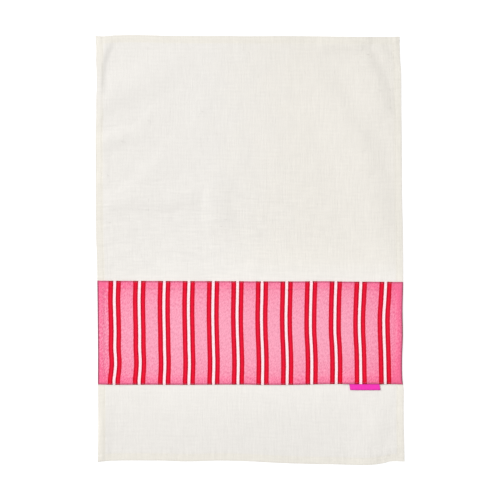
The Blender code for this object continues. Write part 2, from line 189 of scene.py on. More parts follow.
BAND_TOP_EDGE = (
    EdgeRow(along=-250.1, at=-49.9),
    EdgeRow(along=-218, at=-50.2),
    EdgeRow(along=-65, at=-50.7),
    EdgeRow(along=74, at=-51.2),
    EdgeRow(along=115, at=-50.8),
    EdgeRow(along=160, at=-51.5),
    EdgeRow(along=217, at=-51.8),
    EdgeRow(along=250.3, at=-52.1),
)
BAND_BOTTOM_EDGE = (
    EdgeRow(along=-248.8, at=-219.5),
    EdgeRow(along=-225, at=-220.2),
    EdgeRow(along=-187, at=-220.0),
    EdgeRow(along=-106, at=-220.3),
    EdgeRow(along=-20, at=-219.8),
    EdgeRow(along=26, at=-220.4),
    EdgeRow(along=75, at=-220.3),
    EdgeRow(along=127, at=-219.1),
    EdgeRow(along=222, at=-219.0),
    EdgeRow(along=251.0, at=-219.6),
)

FOLDS = (
    Fold("top left pucker", light_side=34, lee_side=10, crest=(
        CrestPoint(x=-224, y=344, height=0.5),
        CrestPoint(x=-233, y=334, height=1.3),
        CrestPoint(x=-240, y=316, height=1.6),
        CrestPoint(x=-244, y=298, height=1.7),
        CrestPoint(x=-245, y=270, height=1.5),
        CrestPoint(x=-246, y=254, height=0.1),
    )),
    Fold("left rib, upper", light_side=42, lee_side=35, crest=(
        CrestPoint(x=-129, y=298, height=0.4),
        CrestPoint(x=-163, y=278, height=1.4),
        CrestPoint(x=-190, y=268, height=1.7),
        CrestPoint(x=-214, y=258, height=1.9),
        CrestPoint(x=-237, y=249, height=2.0),
    )),
    Fold("left hem rise", light_side=10, lee_side=9, crest=(
        CrestPoint(x=-245, y=228, height=0.1),
        CrestPoint(x=-246, y=214, height=0.6),
        CrestPoint(x=-245, y=200, height=0.1),
    )),
    Fold("left rib, short", light_side=11, lee_side=34, crest=(
        CrestPoint(x=-150, y=234, height=0.2),
        CrestPoint(x=-169, y=217, height=0.5),
        CrestPoint(x=-190, y=196, height=0.2),
    )),
    Fold("left rib, middle", light_side=18, lee_side=22, crest=(
        CrestPoint(x=-150, y=191, height=0.1),
        CrestPoint(x=-192, y=188, height=0.7),
        CrestPoint(x=-218, y=184, height=1.4),
        CrestPoint(x=-241, y=177, height=1.4),
    )),
    Fold("left hem trough", light_side=14, lee_side=10, crest=(
        CrestPoint(x=-238, y=162, height=0.1),
        CrestPoint(x=-238, y=138, height=0.5),
        CrestPoint(x=-238, y=108, height=0.1),
    )),
    Fold("left hem rise, lower", light_side=13, lee_side=18, crest=(
        CrestPoint(x=-216, y=106, height=0.1),
        CrestPoint(x=-232, y=110, height=0.7),
        CrestPoint(x=-247, y=112, height=0.7),
    )),
    Fold("left rib, slanting", light_side=20, lee_side=42, crest=(
        CrestPoint(x=-132, y=160, height=0.1),
        CrestPoint(x=-150, y=142, height=0.6),
        CrestPoint(x=-173, y=120, height=0.6),
        CrestPoint(x=-200, y=92, height=0.6),
        CrestPoint(x=-222, y=75, height=0.3),
    )),
    Fold("left rib, lower", light_side=36, lee_side=19, crest=(
        CrestPoint(x=-78, y=79, height=0.1),
        CrestPoint(x=-98, y=80, height=1.0),
        CrestPoint(x=-164, y=79, height=1.4),
        CrestPoint(x=-205, y=80, height=1.4),
        CrestPoint(x=-238, y=75, height=0.8),
    )),
    Fold("middle rib", light_side=28, lee_side=38, crest=(
        CrestPoint(x=-59, y=140, height=0.1),
        CrestPoint(x=-57, y=92, height=1.0),
        CrestPoint(x=-54, y=52, height=1.3),
        CrestPoint(x=-51, y=14, height=0.2),
    )),
    Fold("small rise", light_side=13, lee_side=34, crest=(
        CrestPoint(x=-85, y=249, height=0.1),
        CrestPoint(x=-88, y=216, height=0.5),
        CrestPoint(x=-92, y=188, height=0.1),
    )),
    Fold("long curved fold", light_side=66, lee_side=38, crest=(
        CrestPoint(x=84, y=293, height=0.3),
        CrestPoint(x=104, y=278, height=0.8),
        CrestPoint(x=129, y=250, height=1.2),
        CrestPoint(x=157, y=208, height=1.7),
        CrestPoint(x=183, y=161, height=1.7),
        CrestPoint(x=200, y=106, height=1.3),
        CrestPoint(x=209, y=57, height=0.8),
        CrestPoint(x=216, y=3, height=0.4),
        CrestPoint(x=221, y=-40, height=0.1),
    )),
    Fold("long curved fold, lip", light_side=26, lee_side=38, crest=(
        CrestPoint(x=129, y=250, height=0.1),
        CrestPoint(x=157, y=208, height=0.3),
        CrestPoint(x=183, y=161, height=0.4),
        CrestPoint(x=200, y=106, height=0.5),
        CrestPoint(x=209, y=57, height=0.5),
        CrestPoint(x=216, y=3, height=0.3),
        CrestPoint(x=221, y=-40, height=0.1),
    )),
    Fold("upper curved fold", light_side=56, lee_side=22, crest=(
        CrestPoint(x=178, y=322, height=0.9),
        CrestPoint(x=190, y=305, height=2.2),
        CrestPoint(x=206, y=275, height=2.3),
        CrestPoint(x=215, y=246, height=1.9),
        CrestPoint(x=222, y=212, height=0.4),
    )),
    Fold("top right rise", light_side=48, lee_side=14, crest=(
        CrestPoint(x=204, y=316, height=0.1),
        CrestPoint(x=192, y=326, height=0.8),
        CrestPoint(x=176, y=332, height=1.7),
        CrestPoint(x=160, y=336, height=2.0),
        CrestPoint(x=143, y=338, height=1.5),
        CrestPoint(x=110, y=337, height=0.1),
    )),
    Fold("top right pucker", light_side=12, lee_side=10, crest=(
        CrestPoint(x=203, y=340, height=0.2),
        CrestPoint(x=214, y=328, height=1.1),
        CrestPoint(x=226, y=317, height=0.5),
    )),
    Fold("bottom left rise", light_side=8, lee_side=22, crest=(
        CrestPoint(x=-244, y=-253, height=0.2),
        CrestPoint(x=-243, y=-286, height=1.0),
        CrestPoint(x=-245, y=-324, height=0.9),
        CrestPoint(x=-246, y=-346, height=0.5),
    )),
    Fold("bottom right fold", light_side=42, lee_side=24, crest=(
        CrestPoint(x=228, y=-266, height=0.1),
        CrestPoint(x=217, y=-280, height=0.7),
        CrestPoint(x=206, y=-300, height=1.0),
        CrestPoint(x=197, y=-322, height=1.2),
        CrestPoint(x=192, y=-349, height=1.1),
    )),
    Fold("bottom right corner", light_side=30, lee_side=17, crest=(
        CrestPoint(x=252, y=-325, height=0.7),
        CrestPoint(x=236, y=-325, height=1.0),
        CrestPoint(x=220, y=-327, height=1.2),
        CrestPoint(x=203, y=-332, height=0.3),
    )),
)
SMALL_RISES = (  # too slight for the solids
    Fold("right hem", light_side=16, lee_side=6, crest=(
        CrestPoint(x=251, y=-256, height=0.1),
        CrestPoint(x=251, y=-270, height=0.8),
        CrestPoint(x=251, y=-286, height=0.1),
    )),
    Fold("top hem, middle", light_side=20, lee_side=38, crest=(
        CrestPoint(x=124, y=352, height=0.5),
        CrestPoint(x=126, y=336, height=0.7),
        CrestPoint(x=130, y=316, height=0.1),
    )),
    Fold("top hem, right", light_side=15, lee_side=12, crest=(
        CrestPoint(x=191, y=352, height=0.8),
        CrestPoint(x=191, y=342, height=0.7),
        CrestPoint(x=192, y=330, height=0.1),
    )),
)
CREST_STEPS = 8  # straight runs between two crest points

SWAY_PLACES = (-232.0, -131.0, 30.0, 149.0, 211.0)  # x of the five places in a SwayRow
STRIPE_SWAY = (
    SwayRow(up=8, left=-0.5, quarter=1.2, middle=0.7, right=0.5, far_right=-0.1),
    SwayRow(up=34, left=2.1, quarter=2.1, middle=1.1, right=0.7, far_right=-0.5),
    SwayRow(up=60, left=0.8, quarter=1.5, middle=0.5, right=-0.1, far_right=-1.2),
    SwayRow(up=86, left=1.2, quarter=1.1, middle=-0.6, right=-1.7, far_right=-2.1),
    SwayRow(up=113, left=0.6, quarter=0.5, middle=-1.0, right=-1.6, far_right=-2.3),
    SwayRow(up=139, left=-0.1, quarter=0.5, middle=-0.4, right=-1.1, far_right=-0.6),
    SwayRow(up=165, left=0.7, quarter=1.3, middle=0.0, right=-0.1, far_right=0.7),
)


# ------------------------ curves and forms


def ease(share: Array) -> Array:
    """Smooth step: 0 below 0, 1 above 1."""
    share = np.clip(share, 0.0, 1.0)
    return share * share * (3 - 2 * share)


def fall(share: Array) -> Array:
    """Smooth step down: 1 below 0, 0 above 1."""
    return 1 - ease(share)


def bell(distance: Array, width: float) -> Array:
    """A soft bump: 1 at no distance, about a third at `width`."""
    return np.exp(-((distance / width) ** 2))


def between(start: Any, end: Any, share: Array) -> Array:
    """The value at a share of the way from `start` to `end`."""
    return start + (end - start) * share


def hermite(start: Array, end: Array, start_slope: Array, end_slope: Array, share: Array) -> Array:
    """Cubic between two values.

    Args:
        start: Value at share 0.
        end: Value at share 1.
        start_slope: Slope at the start, for the whole interval.
        end_slope: Slope at the end, for the whole interval.
        share: Place in the interval, from 0 to 1.

    Returns:
        The values at those places.
    """
    square = share * share
    cube = square * share
    value = start * (2 * cube - 3 * square + 1) + end * (3 * square - 2 * cube)
    return value + start_slope * (cube - 2 * square + share) + end_slope * (cube - square)


def smooth_read(places: Sequence[float], values: Sequence[float], at: Array) -> Array:
    """Read a table as a smooth curve through its rows.

    Args:
        places: Where each row is, in rising order.
        values: The value of each row.
        at: The places to read, which are held inside the table.

    Returns:
        The curve's value at each of them.
    """
    spots = np.asarray(places, float)
    heights = np.asarray(values, float)
    slopes = np.empty_like(heights)
    slopes[1:-1] = (heights[2:] - heights[:-2]) / (spots[2:] - spots[:-2])
    slopes[0] = (heights[1] - heights[0]) / (spots[1] - spots[0])
    slopes[-1] = (heights[-1] - heights[-2]) / (spots[-1] - spots[-2])
    held = np.clip(at, spots[0], spots[-1])
    high = np.clip(np.searchsorted(spots, held), 1, len(spots) - 1)
    low = high - 1
    run = spots[high] - spots[low]
    share = (held - spots[low]) / run
    return hermite(heights[low], heights[high], slopes[low] * run, slopes[high] * run, share)


def edge_at(rows: Sequence[EdgeRow], along: Array) -> Array:
    """Where an edge is, in metres, at `along` metres."""
    return smooth_read([row.along for row in rows], [row.at for row in rows], along / MM) * MM


@dataclass(frozen=True)
class Outline:
    """The four uneven edges of a piece of cloth, and the places between them."""

    left: tuple[EdgeRow, ...]
    right: tuple[EdgeRow, ...]
    top: tuple[EdgeRow, ...]
    bottom: tuple[EdgeRow, ...]

    def points(self, across: Array, up: Array) -> tuple[Array, Array]:
        """Points inside the four edges, as a Coons patch.

        Args:
            across: Share of the width, from the left edge.
            up: Share of the length, from the bottom edge.

        Returns:
            Their x and y.
        """
        low_left, low_right = self.bottom[0], self.bottom[-1]
        high_left, high_right = self.top[0], self.top[-1]
        low_x = between(low_left.along, low_right.along, across) * MM
        high_x = between(high_left.along, high_right.along, across) * MM
        left_y = between(low_left.at, high_left.at, up) * MM
        right_y = between(low_right.at, high_right.at, up) * MM
        chord_left = between(low_left.along, high_left.along, up) * MM
        chord_right = between(low_right.along, high_right.along, up) * MM
        chord_low = between(low_left.at, low_right.at, across) * MM
        chord_high = between(high_left.at, high_right.at, across) * MM
        x = between(low_x, high_x, up)
        x += (edge_at(self.left, left_y) - chord_left) * (1 - across)
        x += (edge_at(self.right, right_y) - chord_right) * across
        y = between(left_y, right_y, across)
        y += (edge_at(self.bottom, low_x) - chord_low) * (1 - up)
        y += (edge_at(self.top, high_x) - chord_high) * up
        return x, y


@dataclass(frozen=True)
class FoldSet:
    """The shallow folds in which the cloth lies."""

    folds: tuple[Fold, ...] = FOLDS + SMALL_RISES

    @staticmethod
    def crest_line(fold: Fold) -> Array:
        """A smooth curve through a fold's crest points.

        Args:
            fold: The fold.

        Returns:
            The curve's points, as rows of x, y and height in mm.
        """
        points = np.array(fold.crest, float)
        slopes = np.empty_like(points)
        slopes[1:-1] = (points[2:] - points[:-2]) / 2
        slopes[0] = (points[1] - points[0]) / 2
        slopes[-1] = (points[-1] - points[-2]) / 2
        shares = (np.arange(CREST_STEPS) / CREST_STEPS)[:, None]
        runs = [
            hermite(points[i], points[i + 1], slopes[i], slopes[i + 1], shares)
            for i in range(len(points) - 1)
        ]
        return np.vstack([*runs, points[-1:]])

    def lift(self, x: Array, y: Array) -> Array:
        """How far the folds lift the cloth above its flat place.

        Args:
            x: Places across, in metres.
            y: Places up, in metres.

        Returns:
            The lift at each, in metres.
        """
        spots_x, spots_y = x / MM, y / MM
        total = np.zeros_like(spots_x)
        for fold in self.folds:
            best = np.full_like(total, 2.0 * max(fold.light_side, fold.lee_side))
            height = np.zeros_like(total)
            lee = np.zeros_like(total)
            line = self.crest_line(fold)
            for low, high in zip(line, line[1:]):
                run_x, run_y = high[0] - low[0], high[1] - low[1]
                off_x, off_y = spots_x - low[0], spots_y - low[1]
                length = math.hypot(run_x, run_y)
                share = np.clip((off_x * run_x + off_y * run_y) / length**2, 0.0, 1.0)
                distance = np.hypot(off_x - share * run_x, off_y - share * run_y)
                nearer = distance < best
                side = (run_x * off_y - run_y * off_x) / length
                best = np.where(nearer, distance, best)
                height = np.where(nearer, between(low[2], high[2], share), height)
                lee = np.where(nearer, side / np.maximum(distance, TINY), lee)
            width = between(fold.light_side, fold.lee_side, (lee + 1) / 2)
            total += height * (1 - np.minimum(best / width, 1.0) ** 2) ** 2
        return total * MM


@dataclass(frozen=True)
class Ripples:
    """Small unevenness, as a seeded sum of waves of chosen lengths."""

    height: float
    shortest: float
    longest: float
    seed: int
    waves: int = 24

    def along(self, place: Array) -> Array:
        """The unevenness along a line."""
        return self.over(place, np.zeros_like(place))

    def over(self, x: Array, y: Array) -> Array:
        """The unevenness over a surface.

        Args:
            x: Places across, in metres.
            y: Places up, in metres.

        Returns:
            Heights of about `height` either way.
        """
        chance = np.random.default_rng(self.seed)
        lengths = self.shortest * (self.longest / self.shortest) ** chance.random(self.waves)
        turns = chance.random(self.waves) * math.tau
        phases = chance.random(self.waves) * math.tau
        total = np.zeros_like(x)
        for length, turn, phase in zip(lengths, turns, phases):
            total += np.sin((x * math.cos(turn) + y * math.sin(turn)) * math.tau / length + phase)
        return total * self.height * math.sqrt(2 / self.waves)


@dataclass(frozen=True)
class Seam:
    """How a sewn line shapes the cloth that it holds down."""

    inset: float
    dip: float
    width: float
    pucker: Ripples
    pucker_reach: float

    def puckers(self, sides: Iterable[tuple[Array, Array]]) -> Array:
        """What the puckers beside the lines add to the height.

        Args:
            sides: For each edge, the distance from it and the place along it.

        Returns:
            The added heights. Each edge has ripples of its own.
        """
        return sum(
            replace(self.pucker, seed=self.pucker.seed + number).along(along)
            * bell(from_edge - self.inset, self.pucker_reach)
            for number, (from_edge, along) in enumerate(sides)
        )

    def hollow(self, from_edge: Array) -> Array:
        """How deep the stitched line lies below the cloth around it."""
        return self.dip * bell(from_edge - self.inset, self.width)


# ------------------------ meshes


@dataclass
class Grid:
    """Lines across and up a rectangle of cloth, and the places where they cross."""

    across_lines: Array
    up_lines: Array
    across: Array = field(init=False)
    up: Array = field(init=False)

    def __post_init__(self) -> None:
        """Spread the lines over the rectangle."""
        self.across, self.up = np.meshgrid(self.across_lines, self.up_lines)

    @staticmethod
    def lines(length: float, edge_lines: Sequence[float], step: float) -> Array:
        """Distances across a sheet: its edge lines, even steps, and the edge lines mirrored.

        Args:
            length: The sheet's size in this direction.
            edge_lines: Distances from its edge, in mm and in rising order.
            step: The spacing to come near to between them.

        Returns:
            The distances, in rising order.
        """
        edge = np.array(edge_lines, float) * MM
        count = round((length - 2 * edge[-1]) / step)
        middle = np.linspace(edge[-1], length - edge[-1], count + 1)[1:-1]
        return np.concatenate([edge, middle, length - edge[::-1]])


@dataclass
class SheetMesh:
    """A closed sheet of cloth: its face, its back and the rim that joins them."""

    grid: Grid
    x: Array
    y: Array
    face: Array
    back: Array
    layers: Array
    stripe_across: Array | None = None
    open_face: Array | None = None

    def corners(self) -> Array:
        """The faces of the mesh.

        Returns:
            Rows of four point numbers.
        """
        rows, columns = self.face.shape
        upper = np.arange(rows * columns).reshape(rows, columns)
        lower = upper + rows * columns
        ring = [upper[:-1, :-1], upper[:-1, 1:], upper[1:, 1:], upper[1:, :-1]]
        under = [lower[:-1, :-1], lower[1:, :-1], lower[1:, 1:], lower[:-1, 1:]]
        faces = [np.stack(side, axis=-1).reshape(-1, 4) for side in (ring, under)]
        edge = np.concatenate([upper[0, :-1], upper[:-1, -1], upper[-1, :0:-1], upper[:0:-1, 0]])
        after = np.roll(edge, -1)
        depth = rows * columns
        faces.append(np.stack([edge + depth, after + depth, after, edge], axis=-1))
        return np.concatenate(faces)

    def build(self, name: str, finish: Finish) -> bpy.types.Object:
        """Make the sheet's object, with its UV maps, its attributes and its material.

        Args:
            name: The piece's name.
            finish: What it is made of.

        Returns:
            The object, at the origin.
        """
        points = np.concatenate([rows_of(self.x, self.y, side) for side in (self.face, self.back)])
        faces = self.corners()
        data = bpy.data.meshes.new(name)
        data.from_pydata(points.tolist(), [], faces.tolist())
        data.shade_smooth()
        self.add_map(data, CLOTH_MAP, self.grid.across, faces)
        if self.stripe_across is not None:
            self.add_map(data, STRIPE_MAP, self.stripe_across, faces)
        self.add_attribute(data, LAYERS, self.layers, self.layers)
        if self.open_face is not None:
            self.add_attribute(data, OPEN_FACE, self.open_face, np.zeros_like(self.face))
        data.materials.append(finish.material())
        return place_object(name, data)

    def add_map(self, data: bpy.types.Mesh, name: str, across: Array, faces: Array) -> None:
        """Give the mesh a UV map that is the same on its face and its back.

        Args:
            data: The mesh.
            name: The map's name.
            across: The map's place across, for each point of the face.
            faces: The mesh's faces, as rows of point numbers.
        """
        flat = rows_of(across, self.grid.up)
        set_map(data, name, np.concatenate([flat, flat])[faces.ravel()])

    @staticmethod
    def add_attribute(data: bpy.types.Mesh, name: str, upper: Array, lower: Array) -> None:
        """Give each point of the mesh a number.

        Args:
            data: The mesh.
            name: The attribute's name.
            upper: The numbers on the face.
            lower: The numbers on the back.
        """
        layer = data.attributes.new(name, "FLOAT", "POINT")
        values = np.concatenate([upper.ravel(), lower.ravel()])
        layer.data.foreach_set("value", values.astype(np.float32))


def rows_of(*columns: Array) -> Array:
    """Grids of numbers side by side, with a row for each place."""
    return np.stack(columns, axis=-1).reshape(-1, len(columns))


def set_map(data: bpy.types.Mesh, name: str, places: Array) -> None:
    """Give a mesh a UV map, from the place of each of its face corners."""
    data.uv_layers.new(name=name).data.foreach_set("uv", places.ravel().astype(np.float32))


def place_object(name: str, data: bpy.types.Mesh) -> bpy.types.Object:
    """Put a mesh into the scene as an object at the origin.

    Args:
        name: The object's name.
        data: Its mesh.

    Returns:
        The object.
    """
    item = bpy.data.objects.new(name, data)
    bpy.context.scene.collection.objects.link(item)
    return item


def rim_share(inside: Array, roundness: float) -> Array:
    """Share of its thickness that a folded edge has, at `inside` from its very rim."""
    turn = np.clip(1 - inside / roundness, 0.0, 1.0)
    return np.maximum(np.sqrt(1 - turn**2), LEAST_RIM)


# ------------------------ node trees


class Ramp(NamedTuple):
    """A range of values, and what its two ends become."""

    low: float
    high: float
    to_low: float = 0.0
    to_high: float = 1.0


class Bench:
    """A node tree, with short ways to add, set and join its nodes."""

    def __init__(self, tree: bpy.types.NodeTree) -> None:
        """Work on this tree."""
        self.tree = tree

    def feed(self, socket: Socket, value: Any) -> None:
        """Give an input what it takes.

        Args:
            socket: The input.
            value: A socket to join it to, or a value.
        """
        if isinstance(value, bpy.types.NodeSocket):
            self.tree.links.new(value, socket)
        else:
            socket.default_value = value

    def node(
        self, kind: str, inputs: dict[str | int, Any] | None = None, **settings: Any
    ) -> bpy.types.Node:
        """Add a node.

        Args:
            kind: Blender's name for its type.
            inputs: What each input takes: a socket to join it to, or a value.
            settings: The node's own properties.

        Returns:
            The node.
        """
        made = self.tree.nodes.new(kind)
        for key, value in settings.items():
            setattr(made, key, value)
        for key, value in (inputs or {}).items():
            self.feed(made.inputs[key], value)
        return made

    def math(self, operation: str, *values: Any) -> Socket:
        """Join values in a Math node.

        Args:
            operation: What the node does with them.
            values: Sockets or numbers.

        Returns:
            The node's output.
        """
        return self.node("ShaderNodeMath", dict(enumerate(values)), operation=operation).outputs[0]

    def mix(self, share: Any, first: Any, second: Any, blend: str = "MIX") -> Socket:
        """Mix two colours.

        Args:
            share: How much of the second, as a socket or a number.
            first: The first colour.
            second: The second colour.
            blend: How they are mixed.

        Returns:
            The mixed colour.
        """
        colour_sockets = {0: share, 6: first, 7: second}
        return self.node("ShaderNodeMix", colour_sockets, data_type="RGBA", blend_type=blend).outputs[2]

    def spread(self, value: Socket, ramp: Ramp) -> Socket:
        """Map a range of values onto another, held inside it.

        Args:
            value: The value to map.
            ramp: The two ranges.

        Returns:
            The mapped value.
        """
        labels = ("Value", "From Min", "From Max", "To Min", "To Max")
        return self.node("ShaderNodeMapRange", dict(zip(labels, (value, *ramp)))).outputs[0]

    def product(self, first: Any, *others: Any) -> Socket:
        """Multiply values with each other.

        Args:
            first: The first value.
            others: The others.

        Returns:
            The product.
        """
        for value in others:
            first = self.math("MULTIPLY", first, value)
        return first

    def total(self, *parts: tuple[Any, Any]) -> Socket:
        """A weighted sum.

        Args:
            parts: Each value and its share.

        Returns:
            The sum.
        """
        amount = self.product(*parts[0])
        for value, share in parts[1:]:
            amount = self.math("MULTIPLY_ADD", value, share, amount)
        return amount

    def split(self, vector: Socket) -> Any:
        """The x, y and z of a vector, as outputs."""
        return self.node("ShaderNodeSeparateXYZ", {0: vector}).outputs

    def vector(self, x: Any = 0.0, y: Any = 0.0, z: Any = 0.0) -> Socket:
        """A vector of three values."""
        return self.node("ShaderNodeCombineXYZ", {0: x, 1: y, 2: z}).outputs[0]

    def scaled(self, vector: Socket, factor: Any) -> Socket:
        """A vector times a number."""
        return self.node("ShaderNodeVectorMath", {0: vector, "Scale": factor}, operation="SCALE").outputs[0]

    def noise(self, place: Socket, detail: float) -> Socket:
        """Smooth noise about 0.5, with a grain of about 1."""
        return self.node("ShaderNodeTexNoise", {"Vector": place, "Scale": 1.0, "Detail": detail}).outputs[0]


ORIGIN = (0.0, 0.0, 0.0)


class ShaderGroup:
    """A shader node group with named inputs and outputs, built once and used by several finishes."""

    name = "group"
    inputs: dict[str, float | tuple[float, float, float]] = {}
    outputs: tuple[str, ...] = ()

    def tree(self) -> bpy.types.ShaderNodeTree:
        """The group's tree.

        Returns:
            The tree, made on first use.
        """
        found = bpy.data.node_groups.get(self.name)
        if found:
            return found
        tree = bpy.data.node_groups.new(self.name, "ShaderNodeTree")
        for label, value in self.inputs.items():
            kind = "NodeSocketVector" if isinstance(value, tuple) else "NodeSocketFloat"
            socket = tree.interface.new_socket(label, in_out="INPUT", socket_type=kind)
            socket.default_value = value
        for label in self.outputs:
            tree.interface.new_socket(label, in_out="OUTPUT", socket_type="NodeSocketFloat")
        bench = Bench(tree)
        entry = bench.node("NodeGroupInput")
        results = self.wire(bench, {label: entry.outputs[label] for label in self.inputs})
        bench.node("NodeGroupOutput", results)
        return tree

    def wire(self, bench: Bench, given: dict[str, Socket]) -> dict[str, Socket]:
        """Build the group's inside.

        Args:
            bench: The tree to build in.
            given: The group's inputs by name.

        Returns:
            What each output gets.
        """
        raise NotImplementedError

    def use(self, bench: Bench, **values: Any) -> bpy.types.Node:
        """Place the group in a material.

        Args:
            bench: The material's tree.
            values: What its inputs take, with _ for a space in a name.

        Returns:
            The group's node.
        """
        made = bench.node("ShaderNodeGroup", node_tree=self.tree())
        for key, value in values.items():
            bench.feed(made.inputs[key.replace("_", " ")], value)
        return made


class PlainWeave(ShaderGroup):
    """Round yarns that pass over and under each other, one by one."""

    name = "Plain weave"
    inputs = {"Place": ORIGIN, "Warp Pitch": MM, "Weft Pitch": MM, "Uneven": 0.9}
    outputs = ("Height", "Crevice")
    sag = 0.5  # power with which a yarn sinks towards the gaps at its ends
    change_across = 0.36  # how fast the thickness changes from yarn to yarn
    change_along = 0.03  # how fast it changes along a yarn
    swing = Ramp(0.25, 0.75, -0.5, 0.5)

    def wire(self, bench: Bench, given: dict[str, Socket]) -> dict[str, Socket]:
        """Height of the yarn on top, and how deep in a gap a point is.

        Args:
            bench: The tree to build in.
            given: The group's inputs by name.

        Returns:
            What each output gets.
        """
        place = bench.split(given["Place"])
        pitches = given["Warp Pitch"], given["Weft Pitch"]
        even = [bench.math("DIVIDE", place[axis], pitch) for axis, pitch in enumerate(pitches)]
        across, up = (self.uneven(bench, even[axis], even[1 - axis], given["Uneven"]) for axis in (0, 1))
        warp_round, weft_round = (
            bench.math("ABSOLUTE", bench.math("SINE", bench.product(count, math.pi)))
            for count in (across, up)
        )
        cell = bench.math("ADD", bench.math("FLOOR", across), bench.math("FLOOR", up))
        over = bench.math("PINGPONG", cell, 1.0)
        warp_high = bench.product(warp_round, bench.math("POWER", weft_round, self.sag))
        weft_high = bench.product(weft_round, bench.math("POWER", warp_round, self.sag))
        height = bench.total((bench.math("SUBTRACT", 1.0, over), weft_high), (over, warp_high))
        return {"Height": height, "Crevice": bench.math("SUBTRACT", 1.0, height)}

    def uneven(self, bench: Bench, crosswise: Socket, lengthwise: Socket, amount: Socket) -> Socket:
        """Make yarns thick and thin, by moving their count to and fro.

        Args:
            bench: The tree to build in.
            crosswise: The count across the yarns.
            lengthwise: The count along them.
            amount: How far the count moves.

        Returns:
            The moved count across the yarns.
        """
        place = bench.vector(
            bench.product(crosswise, self.change_across), bench.product(lengthwise, self.change_along)
        )
        moved = bench.spread(bench.noise(place, detail=1.0), self.swing)
        return bench.math("MULTIPLY_ADD", moved, amount, crosswise)


class SlubStreaks(ShaderGroup):
    """Thick and thin stretches of yarn, as long faint streaks along the warp and the weft."""

    name = "Slub streaks"
    inputs = {"Place": ORIGIN, "Streak Length": 20 * MM, "Warp Width": MM, "Weft Width": MM}
    outputs = ("Warp Tone", "Weft Tone")
    slices = (3.7, 14.7)  # where each kind is cut from the noise
    contrast = Ramp(0.28, 0.72, -1.0, 1.0)

    def wire(self, bench: Bench, given: dict[str, Socket]) -> dict[str, Socket]:
        """Streaks of each kind about zero, from -1 to 1.

        Args:
            bench: The tree to build in.
            given: The group's inputs by name.

        Returns:
            What each output gets.
        """
        place = bench.split(given["Place"])
        streaks = []
        for axis, width in enumerate((given["Warp Width"], given["Weft Width"])):
            lengthwise = bench.math("DIVIDE", place[1 - axis], given["Streak Length"])
            crosswise = bench.math("DIVIDE", place[axis], width)
            noise = bench.noise(bench.vector(crosswise, lengthwise, self.slices[axis]), detail=2.0)
            streaks.append(bench.spread(noise, self.contrast))
        return dict(zip(self.outputs, streaks))


class NearLine(ShaderGroup):
    """How near a place is to a line: 1 on it, fading with distance."""

    name = "Near line"
    inputs = {"Coordinate": 0.0, "Line": 0.0, "Reach": 10 * MM}
    outputs = ("Mask", "Soft Mask")

    def wire(self, bench: Bench, given: dict[str, Socket]) -> dict[str, Socket]:
        """The fading mask.

        Args:
            bench: The tree to build in.
            given: The group's inputs by name.

        Returns:
            What each output gets.
        """
        gap = bench.math("ABSOLUTE", bench.math("SUBTRACT", given["Coordinate"], given["Line"]))
        share = bench.math("DIVIDE", gap, given["Reach"])
        falling = bench.product(share, -1.0)
        return {
            "Mask": bench.math("EXPONENT", falling),
            "Soft Mask": bench.math("EXPONENT", bench.product(share, falling)),
        }

    def soft(self, bench: Bench, coordinate: Socket, line: float, reach: float) -> Socket:
        """The softer mask about one line."""
        return self.use(bench, Coordinate=coordinate, Line=line, Reach=reach).outputs["Soft Mask"]


class EdgeDistance(ShaderGroup):
    """How far a place on a rectangle of cloth is from its ends and from its long sides."""

    name = "Edge distance"
    inputs = {"Place": ORIGIN, "Width": 500 * MM, "Depth": 170 * MM}
    outputs = ("From Ends", "From Sides", "From Rim")

    def wire(self, bench: Bench, given: dict[str, Socket]) -> dict[str, Socket]:
        """Distances in metres.

        Args:
            bench: The tree to build in.
            given: The group's inputs by name.

        Returns:
            What each output gets.
        """
        place = bench.split(given["Place"])
        near = [
            bench.math("MINIMUM", place[axis], bench.math("SUBTRACT", far, place[axis]))
            for axis, far in enumerate((given["Width"], given["Depth"]))
        ]
        return {"From Ends": near[0], "From Sides": near[1], "From Rim": bench.math("MINIMUM", *near)}


class LoomBars(ShaderGroup):
    """Faint regular bars that the loom leaves along and across the cloth, here and there."""

    name = "Loom bars"
    inputs = {"Place": ORIGIN, "Warp Period": 4.5 * MM, "Weft Period": 7.0 * MM, "Patch": 22 * MM}
    outputs = ("Tone",)
    shifts = ((0.3, 0.1, 0.0), (1.3, 0.1, 0.0))  # how far each kind's patches are moved, in metres
    shown = Ramp(0.38, 0.66)
    stray = 9.0  # how far the patches bend the bars, in radians
    strength = 0.7

    def wire(self, bench: Bench, given: dict[str, Socket]) -> dict[str, Socket]:
        """Bars about zero, from -1 to 1, that fade in and out in patches.

        Args:
            bench: The tree to build in.
            given: The group's inputs by name.

        Returns:
            What each output gets.
        """
        place = bench.split(given["Place"])
        patchy = bench.math("DIVIDE", 1.0, given["Patch"])
        bars = []
        for axis, period in enumerate((given["Warp Period"], given["Weft Period"])):
            shifted = bench.node("ShaderNodeVectorMath", {0: given["Place"], 1: self.shifts[axis]})
            noise = bench.noise(bench.scaled(shifted.outputs[0], patchy), detail=2.0)
            turns = bench.product(bench.math("DIVIDE", place[axis], period), math.tau)
            wave = bench.math("SINE", bench.math("MULTIPLY_ADD", noise, self.stray, turns))
            bars.append(bench.product(wave, bench.spread(noise, self.shown)))
        return {"Tone": bench.product(bench.math("ADD", *bars), self.strength)}


